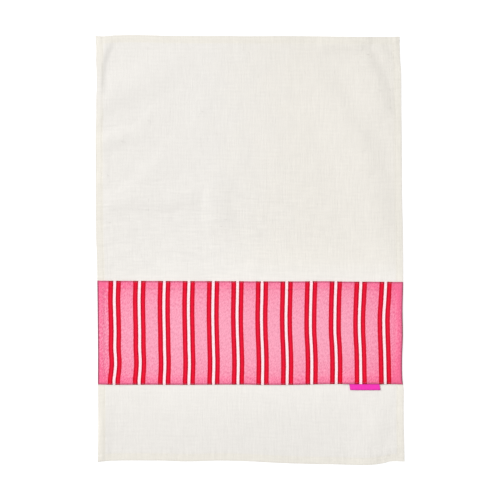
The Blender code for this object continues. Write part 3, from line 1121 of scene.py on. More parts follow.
class TwillFleck(ShaderGroup):
    """Short slanting flecks, where the dye took unevenly on a twilled cloth."""

    name = "Twill fleck"
    inputs = {"Place": ORIGIN, "Fleck Width": 1.5 * MM, "Fleck Length": 4 * MM, "Slant": 0.45}
    outputs = ("Tone",)
    contrast = Ramp(0.33, 0.67, -1.0, 1.0)

    def wire(self, bench: Bench, given: dict[str, Socket]) -> dict[str, Socket]:
        """Flecks about zero, from -1 to 1.

        Args:
            bench: The tree to build in.
            given: The group's inputs by name.

        Returns:
            What each output gets.
        """
        turned = bench.node(
            "ShaderNodeVectorRotate", {"Vector": given["Place"], "Angle": given["Slant"]},
            rotation_type="Z_AXIS",
        )
        place = bench.split(turned.outputs[0])
        across = bench.math("DIVIDE", place[0], given["Fleck Width"])
        along = bench.math("DIVIDE", place[1], given["Fleck Length"])
        return {"Tone": bench.spread(bench.noise(bench.vector(across, along), detail=2.0), self.contrast)}


class Mottle(ShaderGroup):
    """Soft cloudy unevenness of a dyed or printed cloth."""

    name = "Mottle"
    inputs = {"Place": ORIGIN, "Patch": 8 * MM}
    outputs = ("Tone",)
    contrast = Ramp(0.25, 0.75, -1.0, 1.0)

    def wire(self, bench: Bench, given: dict[str, Socket]) -> dict[str, Socket]:
        """Clouds about zero, from -1 to 1."""
        place = bench.scaled(given["Place"], bench.math("DIVIDE", 1.0, given["Patch"]))
        return {"Tone": bench.spread(bench.noise(place, detail=3.0), self.contrast)}


# ------------------------ finishes


Colour = tuple[float, float, float]


def rgba(colour: Colour) -> tuple[float, float, float, float]:
    """A colour with full alpha."""
    return (*colour, 1.0)


@dataclass(frozen=True)
class Finish:
    """A material with a Principled shader and constants on its own sockets."""

    name: str
    roughness: float = 0.9
    sheen: float = 0.0
    sheen_roughness: float = 0.5
    specular: float = 0.25
    relief: float = 0.0

    def material(self) -> bpy.types.Material:
        """The finish as a material.

        Returns:
            The material, made on first use.
        """
        found = bpy.data.materials.get(self.name)
        if found:
            return found
        made = bpy.data.materials.new(self.name)
        made.use_nodes = True
        shader = made.node_tree.nodes["Principled BSDF"]
        shader.inputs["Roughness"].default_value = self.roughness
        shader.inputs["Sheen Weight"].default_value = self.sheen
        shader.inputs["Sheen Roughness"].default_value = self.sheen_roughness
        shader.inputs["Specular IOR Level"].default_value = self.specular
        self.dress(Bench(made.node_tree), shader)
        return made

    def dress(self, bench: Bench, shader: bpy.types.Node) -> None:
        """Build the finish's own pattern and join it to the shader."""
        raise NotImplementedError

    def surface(
        self, bench: Bench, shader: bpy.types.Node, colour: Any, amount: Socket, height: Socket
    ) -> None:
        """Join a pattern to the shader, as its colour and its relief.

        Args:
            bench: The material's tree.
            shader: The Principled shader.
            colour: The pattern's colour, as a socket or a value.
            amount: The share of itself by which the colour is lighter or, below zero, darker.
            height: The relief, as a share of the finish's own depth.
        """
        factor = bench.math("ADD", amount, 1.0)
        grey = bench.node("ShaderNodeCombineColor", {0: factor, 1: factor, 2: factor})
        toned = bench.mix(1.0, colour, grey.outputs[0], blend="MULTIPLY")
        bench.feed(shader.inputs["Base Color"], toned)
        bump = bench.node("ShaderNodeBump", {"Height": height, "Distance": self.relief, "Strength": 1.0})
        bench.feed(shader.inputs["Normal"], bump.outputs[0])


@dataclass(frozen=True)
class EcruCotton(Finish):
    """Unbleached, slubby plain weave, a little yellower where it lies in layers.

    Places are on the flat cloth, from its lower left corner. A share or shade is how much lighter or,
    below zero, darker an effect makes the cloth.
    """

    field_colour: Colour = (0.775, 0.752, 0.716)
    warm_colour: Colour = (0.778, 0.748, 0.694)
    hem_colour: Colour = (0.777, 0.747, 0.681)
    relief: float = 0.12 * MM
    warp_pitch: float = 0.92 * MM
    weft_pitch: float = 1.04 * MM
    # painted shade in the gaps between the yarns
    crevice_painted_shade: float = -0.10
    width: float = 500 * MM
    length: float = 700 * MM
    low_line: float = 0.0  # the band's lower and upper edges
    high_line: float = 0.0
    corner: tuple[float, float, float] | None = None
    streak_length: float = 26 * MM
    warp_streak: float = 2.1 * MM
    weft_streak: float = 3.3 * MM
    warp_relief: float = 0.36
    weft_relief: float = 0.2
    warp_shares: Ramp = Ramp(100 * MM, 320 * MM, 0.014, 0.025)
    weft_share: float = 0.009
    weft_bold: float = 0.019  # more of the weft's streaks, over the band's upper edge
    bold_above: tuple[float, float] = (120 * MM, 220 * MM)
    bold_across: Ramp = Ramp(250 * MM, 420 * MM, 1.0, 0.3)
    cloud: float = 30 * MM
    cloud_share: float = 0.008
    drift: float = 30 * MM  # how far clouds move the edges of a tone
    bar_share: float = 0.016
    warm_across: Ramp = Ramp(180 * MM, 330 * MM)
    warm_above: float = 40 * MM
    painted_light_reach: float = 56 * MM  # painted light on the cloth above and below the band
    painted_light_above: float = 0.05
    above_across: Ramp = Ramp(0.0, 200 * MM, 0.15, 1.0)
    painted_light_below: float = 0.045
    below_across: Ramp = Ramp(0.0, 120 * MM, 0.45, 1.0)
    # painted light on the cloth close to the band's edges
    close_reach: float = 12 * MM
    painted_light_close: float = 0.022
    washed_hem: Ramp = Ramp(13 * MM, 20 * MM, 0.85, 0.0)  # the left hem, less yellow near its upper end
    washed_line: float = 615 * MM
    washed_reach: float = 40 * MM
    # painted shade along the top edge, in the cloth's right part
    top_reach: float = 90 * MM
    painted_top_shade: float = -0.02
    # painted shade along the bottom edge, turning to painted light towards its right end
    foot_reach: float = 80 * MM
    foot_from: float = 330 * MM
    painted_foot_shade_and_light: float = 0.014
    # painted shade near the cloth's rim
    rim: Ramp = Ramp(0.5 * MM, 4 * MM, 1.0, 0.0)
    rim_share: float = -0.03

    def place(self, bench: Bench) -> Socket:
        """Where a point is on the flat cloth.

        Args:
            bench: The material's tree.

        Returns:
            Its place by its map or, on a piece that has none, from the cloth's corner.
        """
        if self.corner is None:
            return bench.node("ShaderNodeUVMap", uv_map=CLOTH_MAP).outputs[0]
        loose = bench.node("ShaderNodeTexCoord").outputs["Object"]
        moved = bench.node("ShaderNodeVectorMath", {0: loose, 1: self.corner}, operation="SUBTRACT")
        return moved.outputs[0]

    def dress(self, bench: Bench, shader: bpy.types.Node) -> None:
        """Weave, slubs and layers, with painted light on the cloth beside the band and painted shade in the
        weave's gaps, at the rim, at the top right and along the foot.

        Args:
            bench: The material's tree.
            shader: The Principled shader.
        """
        place = self.place(bench)
        layers = bench.node("ShaderNodeAttribute", attribute_name=LAYERS).outputs["Fac"]
        weave = PlainWeave().use(bench, Place=place, Warp_Pitch=self.warp_pitch, Weft_Pitch=self.weft_pitch)
        slubs = SlubStreaks().use(
            bench, Place=place,
            Streak_Length=self.streak_length, Warp_Width=self.warp_streak, Weft_Width=self.weft_streak,
        )
        clouds = Mottle().use(bench, Place=place, Patch=self.cloud).outputs["Tone"]
        bars = LoomBars().use(bench, Place=place).outputs["Tone"]
        edge = EdgeDistance().use(bench, Place=place, Width=self.width, Depth=self.length)
        across, up, _ = bench.split(place)
        drift = bench.math("MULTIPLY_ADD", clouds, self.drift, across)
        near = NearLine()
        low, high = self.low_line, self.high_line
        # painted light on the cloth above and below the band, broad and close in
        below, above = (near.soft(bench, up, line, self.painted_light_reach) for line in (low, high))
        close = bench.math("ADD", *(near.soft(bench, up, line, self.close_reach) for line in (low, high)))
        top = near.soft(bench, up, self.length, self.top_reach)
        foot = near.soft(bench, up, 0.0, self.foot_reach)
        washed = bench.product(
            bench.spread(across, self.washed_hem), near.soft(bench, up, self.washed_line, self.washed_reach)
        )
        layers = bench.product(layers, bench.math("SUBTRACT", 1.0, washed))
        warm = bench.product(
            bench.spread(drift, self.warm_across), bench.spread(up, Ramp(high, high + self.warm_above))
        )
        colour = bench.mix(warm, rgba(self.field_colour), rgba(self.warm_colour))
        colour = bench.mix(layers, colour, rgba(self.hem_colour))
        bold = bench.product(
            bench.spread(up, Ramp(*(high + rise for rise in self.bold_above), 1.0, 0.0)),
            bench.spread(up, Ramp(low, high)),
            bench.spread(across, self.bold_across),
        )
        weft_share = bench.math("MULTIPLY_ADD", bold, self.weft_bold, self.weft_share)
        shade = Ramp(self.foot_from, self.width, -self.painted_foot_shade_and_light, self.painted_foot_shade_and_light)
        amount = bench.total(
            (slubs.outputs["Weft Tone"], weft_share),
            (slubs.outputs["Warp Tone"], bench.spread(across, self.warp_shares)),
            (bars, self.bar_share),
            (clouds, self.cloud_share),
            (weave.outputs["Crevice"], self.crevice_painted_shade),
            (bench.product(above, bench.spread(drift, self.above_across)), self.painted_light_above),
            (bench.product(below, bench.spread(drift, self.below_across)), self.painted_light_below),
            (close, self.painted_light_close),
            (bench.product(warm, top), self.painted_top_shade),
            (foot, bench.spread(across, shade)),
            (bench.spread(edge.outputs["From Rim"], self.rim), self.rim_share),
        )
        height = bench.total(
            (weave.outputs["Height"], 1.0),
            (slubs.outputs["Warp Tone"], self.warp_relief),
            (slubs.outputs["Weft Tone"], self.weft_relief),
        )
        self.surface(bench, shader, colour, amount, height)


class StripeMasks(NamedTuple):
    """How much of each print a place has: red, white, and the darker edge of the red."""

    red: float
    white: float
    dark: float


@dataclass(frozen=True)
class StripedCotton(Finish):
    """Printed cotton: red and white stripes on a pink that deepens towards the band's edges."""

    light_pink: Colour = (0.9, 0.37, 0.493)
    deep_pink: Colour = (0.89, 0.150, 0.295)
    red: Colour = (0.8, 0.0095, 0.037)
    deep_red: Colour = (0.79, 0.006, 0.031)
    white: Colour = (0.97, 0.775, 0.815)
    relief: float = 0.08 * MM
    width: float = 500 * MM
    depth: float = 169 * MM
    warp_pitch: float = 0.62 * MM
    weft_pitch: float = 0.66 * MM
    # painted shade in the gaps between the yarns
    crevice_painted_shade: float = -0.12
    first_red: float = -231.9 * MM
    repeat: float = 40.24 * MM
    red_width: float = 7.9 * MM
    white_width: float = 4.3 * MM
    soft: float = 0.5 * MM
    wander: float = 0.12 * MM
    dark_line: float = 1.3 * MM
    dark_width: float = 2.9 * MM
    dark_by_pink: float = 0.65
    dark_at_pink: float = 0.2
    dark_at_white: float = 0.3
    dark_share: float = -0.5
    end_reach: float = 34 * MM  # how far the deeper pink reaches from the ends and from the sides
    side_reach: float = 30 * MM
    deep_left: float = 0.62
    deep_right: float = 0.82
    deep_sides: float = 0.66
    deep_turned: float = 0.13
    fleck: float = 0.26
    fleck_left: float = 0.3
    fleck_share: float = -0.09
    cloud: float = 9 * MM
    cloud_share: float = 0.02
    # painted shade along the band's folded rim, where the cloth turns under
    rim_width: float = 2.3 * MM
    rim_fade: float = 1.0 * MM
    rim_share: float = -0.3
    # painted shade along the band's turned ends
    end_rim: float = 1.4 * MM
    painted_end_shade: float = -0.28

    def stops(self) -> list[tuple[float, StripeMasks]]:
        """The print over one repeat, from the left edge of the first red line.

        Returns:
            The place and the masks of each stop.
        """
        half = self.soft / 2
        white_start = self.red_width
        white_end = white_start + self.white_width
        red_end = white_end + self.red_width
        pink, white, red = StripeMasks(0, 0, 0), StripeMasks(0, 1, 0), StripeMasks(1, 0, 0)
        at_pink, at_white = red._replace(dark=self.dark_at_pink), red._replace(dark=self.dark_at_white)
        by_pink, by_white = red._replace(dark=self.dark_by_pink), red._replace(dark=1)
        return [
            (0.0, at_pink), (self.dark_line, by_pink), (self.dark_width, red),
            (white_start - self.dark_width, red), (white_start - self.dark_line, by_white),
            (white_start - half, at_white), (white_start + half, white),
            (white_end - half, white), (white_end + half, at_white),
            (white_end + self.dark_line, by_white), (white_end + self.dark_width, red),
            (red_end - self.dark_width, red), (red_end - self.dark_line, by_pink),
            (red_end - half, at_pink), (red_end + half, pink),
            (self.repeat - self.soft, pink), (self.repeat, at_pink),
        ]

    def masks(self, bench: Bench, wander: Socket) -> Any:
        """The print's masks, read by the swayed map.

        Args:
            bench: The material's tree.
            wander: A small sideways wander of the printed edges, in metres.

        Returns:
            The masks as outputs, in the order of StripeMasks.
        """
        swayed = bench.node("ShaderNodeUVMap", uv_map=STRIPE_MAP).outputs[0]
        from_red = bench.math("ADD", bench.math("SUBTRACT", bench.split(swayed)[0], self.first_red), wander)
        share = bench.math("FRACT", bench.math("DIVIDE", from_red, self.repeat))
        ramp = bench.node("ShaderNodeValToRGB", {"Fac": share})
        ramp.color_ramp.interpolation = "LINEAR"
        elements = ramp.color_ramp.elements
        elements.remove(elements[1])
        (_, first), *others = self.stops()
        elements[0].position, elements[0].color = 0.0, rgba(first)
        for place, shares in others:
            elements.new(place / self.repeat).color = rgba(shares)
        return bench.node("ShaderNodeSeparateColor", {0: ramp.outputs[0]}).outputs

    def dress(self, bench: Bench, shader: bpy.types.Node) -> None:
        """Stripes, the deeper pink near the edges and in the turned cloth, weave and flecks, with painted
        shade in the weave's gaps, along the rim and at the ends.

        Args:
            bench: The material's tree.
            shader: The Principled shader.
        """
        place = bench.node("ShaderNodeUVMap", uv_map=CLOTH_MAP).outputs[0]
        edges = EdgeDistance().use(bench, Place=place, Width=self.width, Depth=self.depth)
        layers = bench.node("ShaderNodeAttribute", attribute_name=LAYERS).outputs["Fac"]
        weave = PlainWeave().use(bench, Place=place, Warp_Pitch=self.warp_pitch, Weft_Pitch=self.weft_pitch)
        clouds = Mottle().use(bench, Place=place, Patch=self.cloud).outputs["Tone"]
        flecks = TwillFleck().use(bench, Place=place).outputs["Tone"]
        along = bench.split(place)[0]
        near_left, near_right, near_sides = (
            NearLine().use(bench, Coordinate=distance, Line=line, Reach=reach).outputs["Mask"]
            for distance, line, reach in (
                (along, 0.0, self.end_reach),
                (along, self.width, self.end_reach),
                (edges.outputs["From Sides"], 0.0, self.side_reach),
            )
        )
        deep = bench.total(
            (near_right, self.deep_right),
            (near_left, self.deep_left),
            (near_sides, self.deep_sides),
            (layers, self.deep_turned),
            (flecks, bench.math("MULTIPLY_ADD", near_left, self.fleck_left, self.fleck)),
        )
        deep = bench.node("ShaderNodeClamp", {0: deep}).outputs[0]
        is_red, is_white, is_dark = self.masks(bench, bench.product(clouds, self.wander))
        pink = bench.mix(deep, rgba(self.light_pink), rgba(self.deep_pink))
        red = bench.mix(near_sides, rgba(self.red), rgba(self.deep_red))
        colour = bench.mix(is_white, bench.mix(is_red, pink, red), rgba(self.white))
        rim, end = (
            bench.spread(edges.outputs[label], Ramp(width, width + self.rim_fade, 1.0, 0.0))
            for label, width in (("From Rim", self.rim_width), ("From Ends", self.end_rim))
        )
        amount = bench.total(
            (flecks, self.fleck_share),
            (clouds, self.cloud_share),
            (weave.outputs["Crevice"], self.crevice_painted_shade),
            (is_dark, self.dark_share),
            (bench.product(rim, bench.math("SUBTRACT", 1.0, is_white)), self.rim_share),
            (end, self.painted_end_shade),
        )
        self.surface(bench, shader, colour, amount, weave.outputs["Height"])


@dataclass(frozen=True)
class SatinRibbon(Finish):
    """Bare magenta ribbon with a fine crosswise rib."""

    colour: Colour = (0.885, 0.033, 0.46)
    relief: float = 0.05 * MM
    yarn_pitch: float = 0.3 * MM
    rib_pitch: float = 0.45 * MM
    # painted shade in the gaps between the ribs
    crevice_painted_shade: float = -0.12
    width: float = 49.4 * MM
    beyond: float = 1.0  # more than the ribbon's length, so that only its sides count as edges
    cloud: float = 3 * MM
    cloud_share: float = 0.05
    selvage: Ramp = Ramp(0.6 * MM, 1.2 * MM, 1.0, 0.0)
    selvage_share: float = -0.16
    # painted shade along the turn of the fold
    fold: float = 16.3 * MM
    fold_reach: float = 1.7 * MM
    painted_fold_shade: float = -0.36

    def dress(self, bench: Bench, shader: bpy.types.Node) -> None:
        """Ribs across the ribbon, a faint cloudiness, darker selvages, and painted shade in the ribs' gaps
        and along the fold.

        Args:
            bench: The material's tree.
            shader: The Principled shader.
        """
        place = bench.node("ShaderNodeUVMap", uv_map=CLOTH_MAP).outputs[0]
        weave = PlainWeave().use(bench, Place=place, Warp_Pitch=self.yarn_pitch, Weft_Pitch=self.rib_pitch)
        clouds = Mottle().use(bench, Place=place, Patch=self.cloud).outputs["Tone"]
        edges = EdgeDistance().use(bench, Place=place, Width=self.width, Depth=self.beyond)
        amount = bench.total(
            (clouds, self.cloud_share),
            (weave.outputs["Crevice"], self.crevice_painted_shade),
            (bench.spread(edges.outputs["From Ends"], self.selvage), self.selvage_share),
            (NearLine().soft(bench, bench.split(place)[1], self.fold, self.fold_reach), self.painted_fold_shade),
        )
        self.surface(bench, shader, rgba(self.colour), amount, weave.outputs["Height"])


@dataclass(frozen=True)
class SewingThread(Finish):
    """Twisted sewing thread."""

    colour: Colour = (0.75, 0.72, 0.66)
    relief: float = 0.04 * MM
    twist: float = 0.4 * MM
    uneven: float = 1.5
    # painted shade in the grooves between the plies, painted light on their crowns
    plies: Ramp = Ramp(0.0, 1.0, -0.12, 0.05)

    def dress(self, bench: Bench, shader: bpy.types.Node) -> None:
        """Slanting plies, with painted shade between them and painted light on their crowns.

        Args:
            bench: The material's tree.
            shader: The Principled shader.
        """
        place = bench.node("ShaderNodeTexCoord").outputs["Object"]
        wave = bench.node(
            "ShaderNodeTexWave",
            {"Vector": place, "Scale": 1 / (self.twist * math.tau), "Distortion": self.uneven},
            bands_direction="DIAGONAL",
        ).outputs["Fac"]
        self.surface(bench, shader, rgba(self.colour), bench.spread(wave, self.plies), wave)


@dataclass(frozen=True)
class PaleFloor(Finish):
    """The plain white surface under the towel."""

    colour: Colour = (0.25, 0.25, 0.25)
    glow: float = 0.82

    def dress(self, bench: Bench, shader: bpy.types.Node) -> None:
        """A plain white that stays white in the towel's own shade.

        Args:
            bench: The material's tree.
            shader: The Principled shader.
        """
        shader.inputs["Base Color"].default_value = rgba(self.colour)
        shader.inputs["Emission Color"].default_value = (1, 1, 1, 1)
        shader.inputs["Emission Strength"].default_value = self.glow


# ------------------------ repeats made with Geometry Nodes


FLOAT = "NodeSocketFloat"  # the kinds of a tool's inputs
WHOLE = "NodeSocketInt"


class NodesTool:
    """A Geometry Nodes tree with named inputs, which is baked into a plain mesh."""

    name = "tool"
    inputs: dict[str, tuple[str, Any]] = {}

    def tree(self) -> bpy.types.GeometryNodeTree:
        """The tool's tree.

        Returns:
            The tree, made on first use.
        """
        found = bpy.data.node_groups.get(self.name)
        if found:
            return found
        tree = bpy.data.node_groups.new(self.name, "GeometryNodeTree")
        tree.interface.new_socket("Geometry", in_out="INPUT", socket_type="NodeSocketGeometry")
        for label, (kind, value) in self.inputs.items():
            tree.interface.new_socket(label, in_out="INPUT", socket_type=kind).default_value = value
        tree.interface.new_socket("Material", in_out="INPUT", socket_type="NodeSocketMaterial")
        tree.interface.new_socket("Geometry", in_out="OUTPUT", socket_type="NodeSocketGeometry")
        bench = Bench(tree)
        given = bench.node("NodeGroupInput").outputs
        placed = self.wire(bench, given)
        real = bench.node("GeometryNodeRealizeInstances", {"Geometry": placed})
        smooth = bench.node("GeometryNodeSetShadeSmooth", {"Geometry": real.outputs[0]})
        dressed = bench.node(
            "GeometryNodeSetMaterial", {"Geometry": smooth.outputs[0], "Material": given["Material"]}
        )
        bench.node("NodeGroupOutput", {"Geometry": dressed.outputs[0]})
        return tree

    @staticmethod
    def chance(bench: Bench, low: Socket, high: Socket, seed: Any) -> Socket:
        """A number for each instance, at random between two."""
        number_sockets = {2: low, 3: high, "Seed": seed}
        return bench.node("FunctionNodeRandomValue", number_sockets, data_type="FLOAT").outputs[1]

    @staticmethod
    def instances(bench: Bench, *parts: Socket) -> Socket:
        """Copies on points, from the points, the shape, its rotation and its size."""
        labels = ("Points", "Instance", "Rotation", "Scale")
        return bench.node("GeometryNodeInstanceOnPoints", dict(zip(labels, parts))).outputs[0]

    def wire(self, bench: Bench, given: Any) -> Socket:
        """Build the part that places the instances.

        Args:
            bench: The tree to build in.
            given: The tree's inputs, by name.

        Returns:
            The placed instances.
        """
        raise NotImplementedError

    def bake(self, base: bpy.types.Mesh, name: str, **values: Any) -> bpy.types.Object:
        """Run the tree on a mesh.

        Args:
            base: The mesh that the tree works on.
            name: The name of the piece that it makes.
            values: What its inputs take, with _ for a space in a name.

        Returns:
            The piece, as a plain mesh.
        """
        guide = place_object(name + "_guide", base)
        modifier = guide.modifiers.new("tool", "NODES")
        modifier.node_group = self.tree()
        items = modifier.node_group.interface.items_tree
        sockets = {item.name: item.identifier for item in items if item.in_out == "INPUT"}
        for key, value in values.items():
            modifier[sockets[key.replace("_", " ")]] = value
        graph = bpy.context.evaluated_depsgraph_get()
        data = bpy.data.meshes.new_from_object(guide.evaluated_get(graph))
        data.name = name
        guide.modifiers.clear()
        bpy.data.objects.remove(guide)
        return place_object(name, data)


class StitchTool(NodesTool):
    """Lays stitches end to end along a line."""

    name = "Stitches"
    inputs = {
        "Pitch": (FLOAT, 2.8 * MM),
        "Length": (FLOAT, 2.3 * MM),
        "Width": (FLOAT, 0.5 * MM),
        "Height": (FLOAT, 0.35 * MM),
        "Lean": (FLOAT, 0.08),
        "Seed": (WHOLE, 1),
    }

    def wire(self, bench: Bench, given: Any) -> Socket:
        """A flattened bead for each stitch, turned along the line.

        Args:
            bench: The tree to build in.
            given: The tree's inputs, by name.

        Returns:
            The placed instances.
        """
        curve = bench.node("GeometryNodeMeshToCurve", {"Mesh": given["Geometry"]})
        spaced = bench.node(
            "GeometryNodeResampleCurve",
            {"Curve": curve.outputs[0], "Length": given["Pitch"]},
            mode="LENGTH",
        )
        bead = bench.node("GeometryNodeMeshUVSphere", {"Segments": 8, "Rings": 5, "Radius": 0.5})
        along = bench.node("GeometryNodeInputTangent")
        turned = bench.node(
            "FunctionNodeAlignRotationToVector", {"Vector": along.outputs[0]}, axis="X", pivot_axis="Z"
        )
        lean = self.chance(bench, bench.product(given["Lean"], -1.0), given["Lean"], given["Seed"])
        leaned = bench.node(
            "FunctionNodeRotateRotation",
            {"Rotation": turned.outputs[0], "Rotate By": bench.vector(z=lean)},
            rotation_space="LOCAL",
        )
        size = bench.vector(given["Length"], given["Width"], given["Height"])
        return self.instances(bench, spaced.outputs[0], bead.outputs[0], leaned.outputs[0], size)


class SlubTool(NodesTool):
    """Scatters slubs, thick stretches of yarn, over the open face of the cloth."""

    name = "Slubs"
    inputs = {
        "Density": (FLOAT, 4500.0),
        "Shortest": (FLOAT, 7 * MM),
        "Longest": (FLOAT, 22 * MM),
        "Width": (FLOAT, 0.95 * MM),
        "Height": (FLOAT, 0.22 * MM),
        "Sunk": (FLOAT, 0.072 * MM),
        "Thinnest": (FLOAT, 0.7),
        "Thickest": (FLOAT, 1.2),
        "Seed": (WHOLE, 1),
    }

    def wire(self, bench: Bench, given: Any) -> Socket:
        """A slim spindle for each slub, sunk a little, along the warp or the weft.

        Args:
            bench: The tree to build in.
            given: The tree's inputs, by name.

        Returns:
            The placed instances.
        """
        mask = bench.node("GeometryNodeInputNamedAttribute", {"Name": OPEN_FACE}, data_type="FLOAT")
        seed = given["Seed"]
        points = bench.node(
            "GeometryNodeDistributePointsOnFaces",
            {
                "Mesh": given["Geometry"],
                "Density": bench.product(given["Density"], mask.outputs[0]),
                "Seed": seed,
            },
        )
        outward = points.outputs["Normal"]
        sunk = bench.node(
            "GeometryNodeSetPosition",
            {
                "Geometry": points.outputs[0],
                "Offset": bench.scaled(outward, bench.product(given["Sunk"], -1.0)),
            },
        )
        spindle = bench.node("GeometryNodeMeshUVSphere", {"Segments": 8, "Rings": 6, "Radius": 0.5})
        pick = bench.node(
            "FunctionNodeRandomValue", {"Seed": seed, "Probability": 0.5}, data_type="BOOLEAN"
        )
        facing = bench.node(
            "FunctionNodeAlignRotationToVector",
            {"Rotation": bench.vector(z=bench.product(pick.outputs[3], math.pi / 2)), "Vector": outward},
            axis="Z",
        )
        length, girth = (
            self.chance(bench, given[low], given[high], bench.math("ADD", seed, after))
            for low, high, after in (("Shortest", "Longest", 7.0), ("Thinnest", "Thickest", 13.0))
        )
        width, height = (bench.product(given[label], girth) for label in ("Width", "Height"))
        size = bench.vector(length, width, height)
        return self.instances(bench, sunk.outputs[0], spindle.outputs[0], facing.outputs[0], size)


def upright(across: float, low: float, high: float) -> tuple[Array, Array]:
    """Places along a sewn line that runs up the cloth."""
    up = np.arange(low, high, LINE_STEP)
    return np.full_like(up, across), up


def level(up: float, left: float, right: float) -> tuple[Array, Array]:
    """Places along a sewn line that runs across the cloth."""
    return upright(up, left, right)[::-1]


def line_mesh(name: str, runs: Sequence[Array]) -> bpy.types.Mesh:
    """A mesh of loose lines.

    Args:
        name: Its name.
        runs: The points of each line, in rows of x, y and z.

    Returns:
        The mesh.
    """
    points: list[list[float]] = []
    edges: list[tuple[int, int]] = []
    for run in runs:
        first = len(points)
        points.extend(run.tolist())
        edges.extend((first + i, first + i + 1) for i in range(len(run) - 1))
    data = bpy.data.meshes.new(name)
    data.from_pydata(points, edges, [])
    return data


# ------------------------ the towel's pieces


ECRU = EcruCotton("slubby_ecru", roughness=0.95, sheen=0.08, low_line=125.5 * MM, high_line=296.5 * MM)
SLUB_YARN = replace(ECRU, name="slub_yarn", corner=(-250.6 * MM, -346.3 * MM, 0.0))
STRIPED = StripedCotton("striped_print", roughness=0.95, specular=0.08)
RIBBON = SatinRibbon("satin_ribbon", roughness=0.45, specular=0.2)
ECRU_THREAD = SewingThread("ecru_thread", roughness=0.7, colour=(0.74, 0.71, 0.65))
PINK_THREAD = SewingThread("pink_thread", roughness=0.7, colour=(0.85, 0.16, 0.30))
FLOOR = PaleFloor("pale_floor", roughness=0.9)


class ClothSide(Enum):
    """A side of the towel cloth."""

    FACE = "face"
    BACK = "back"


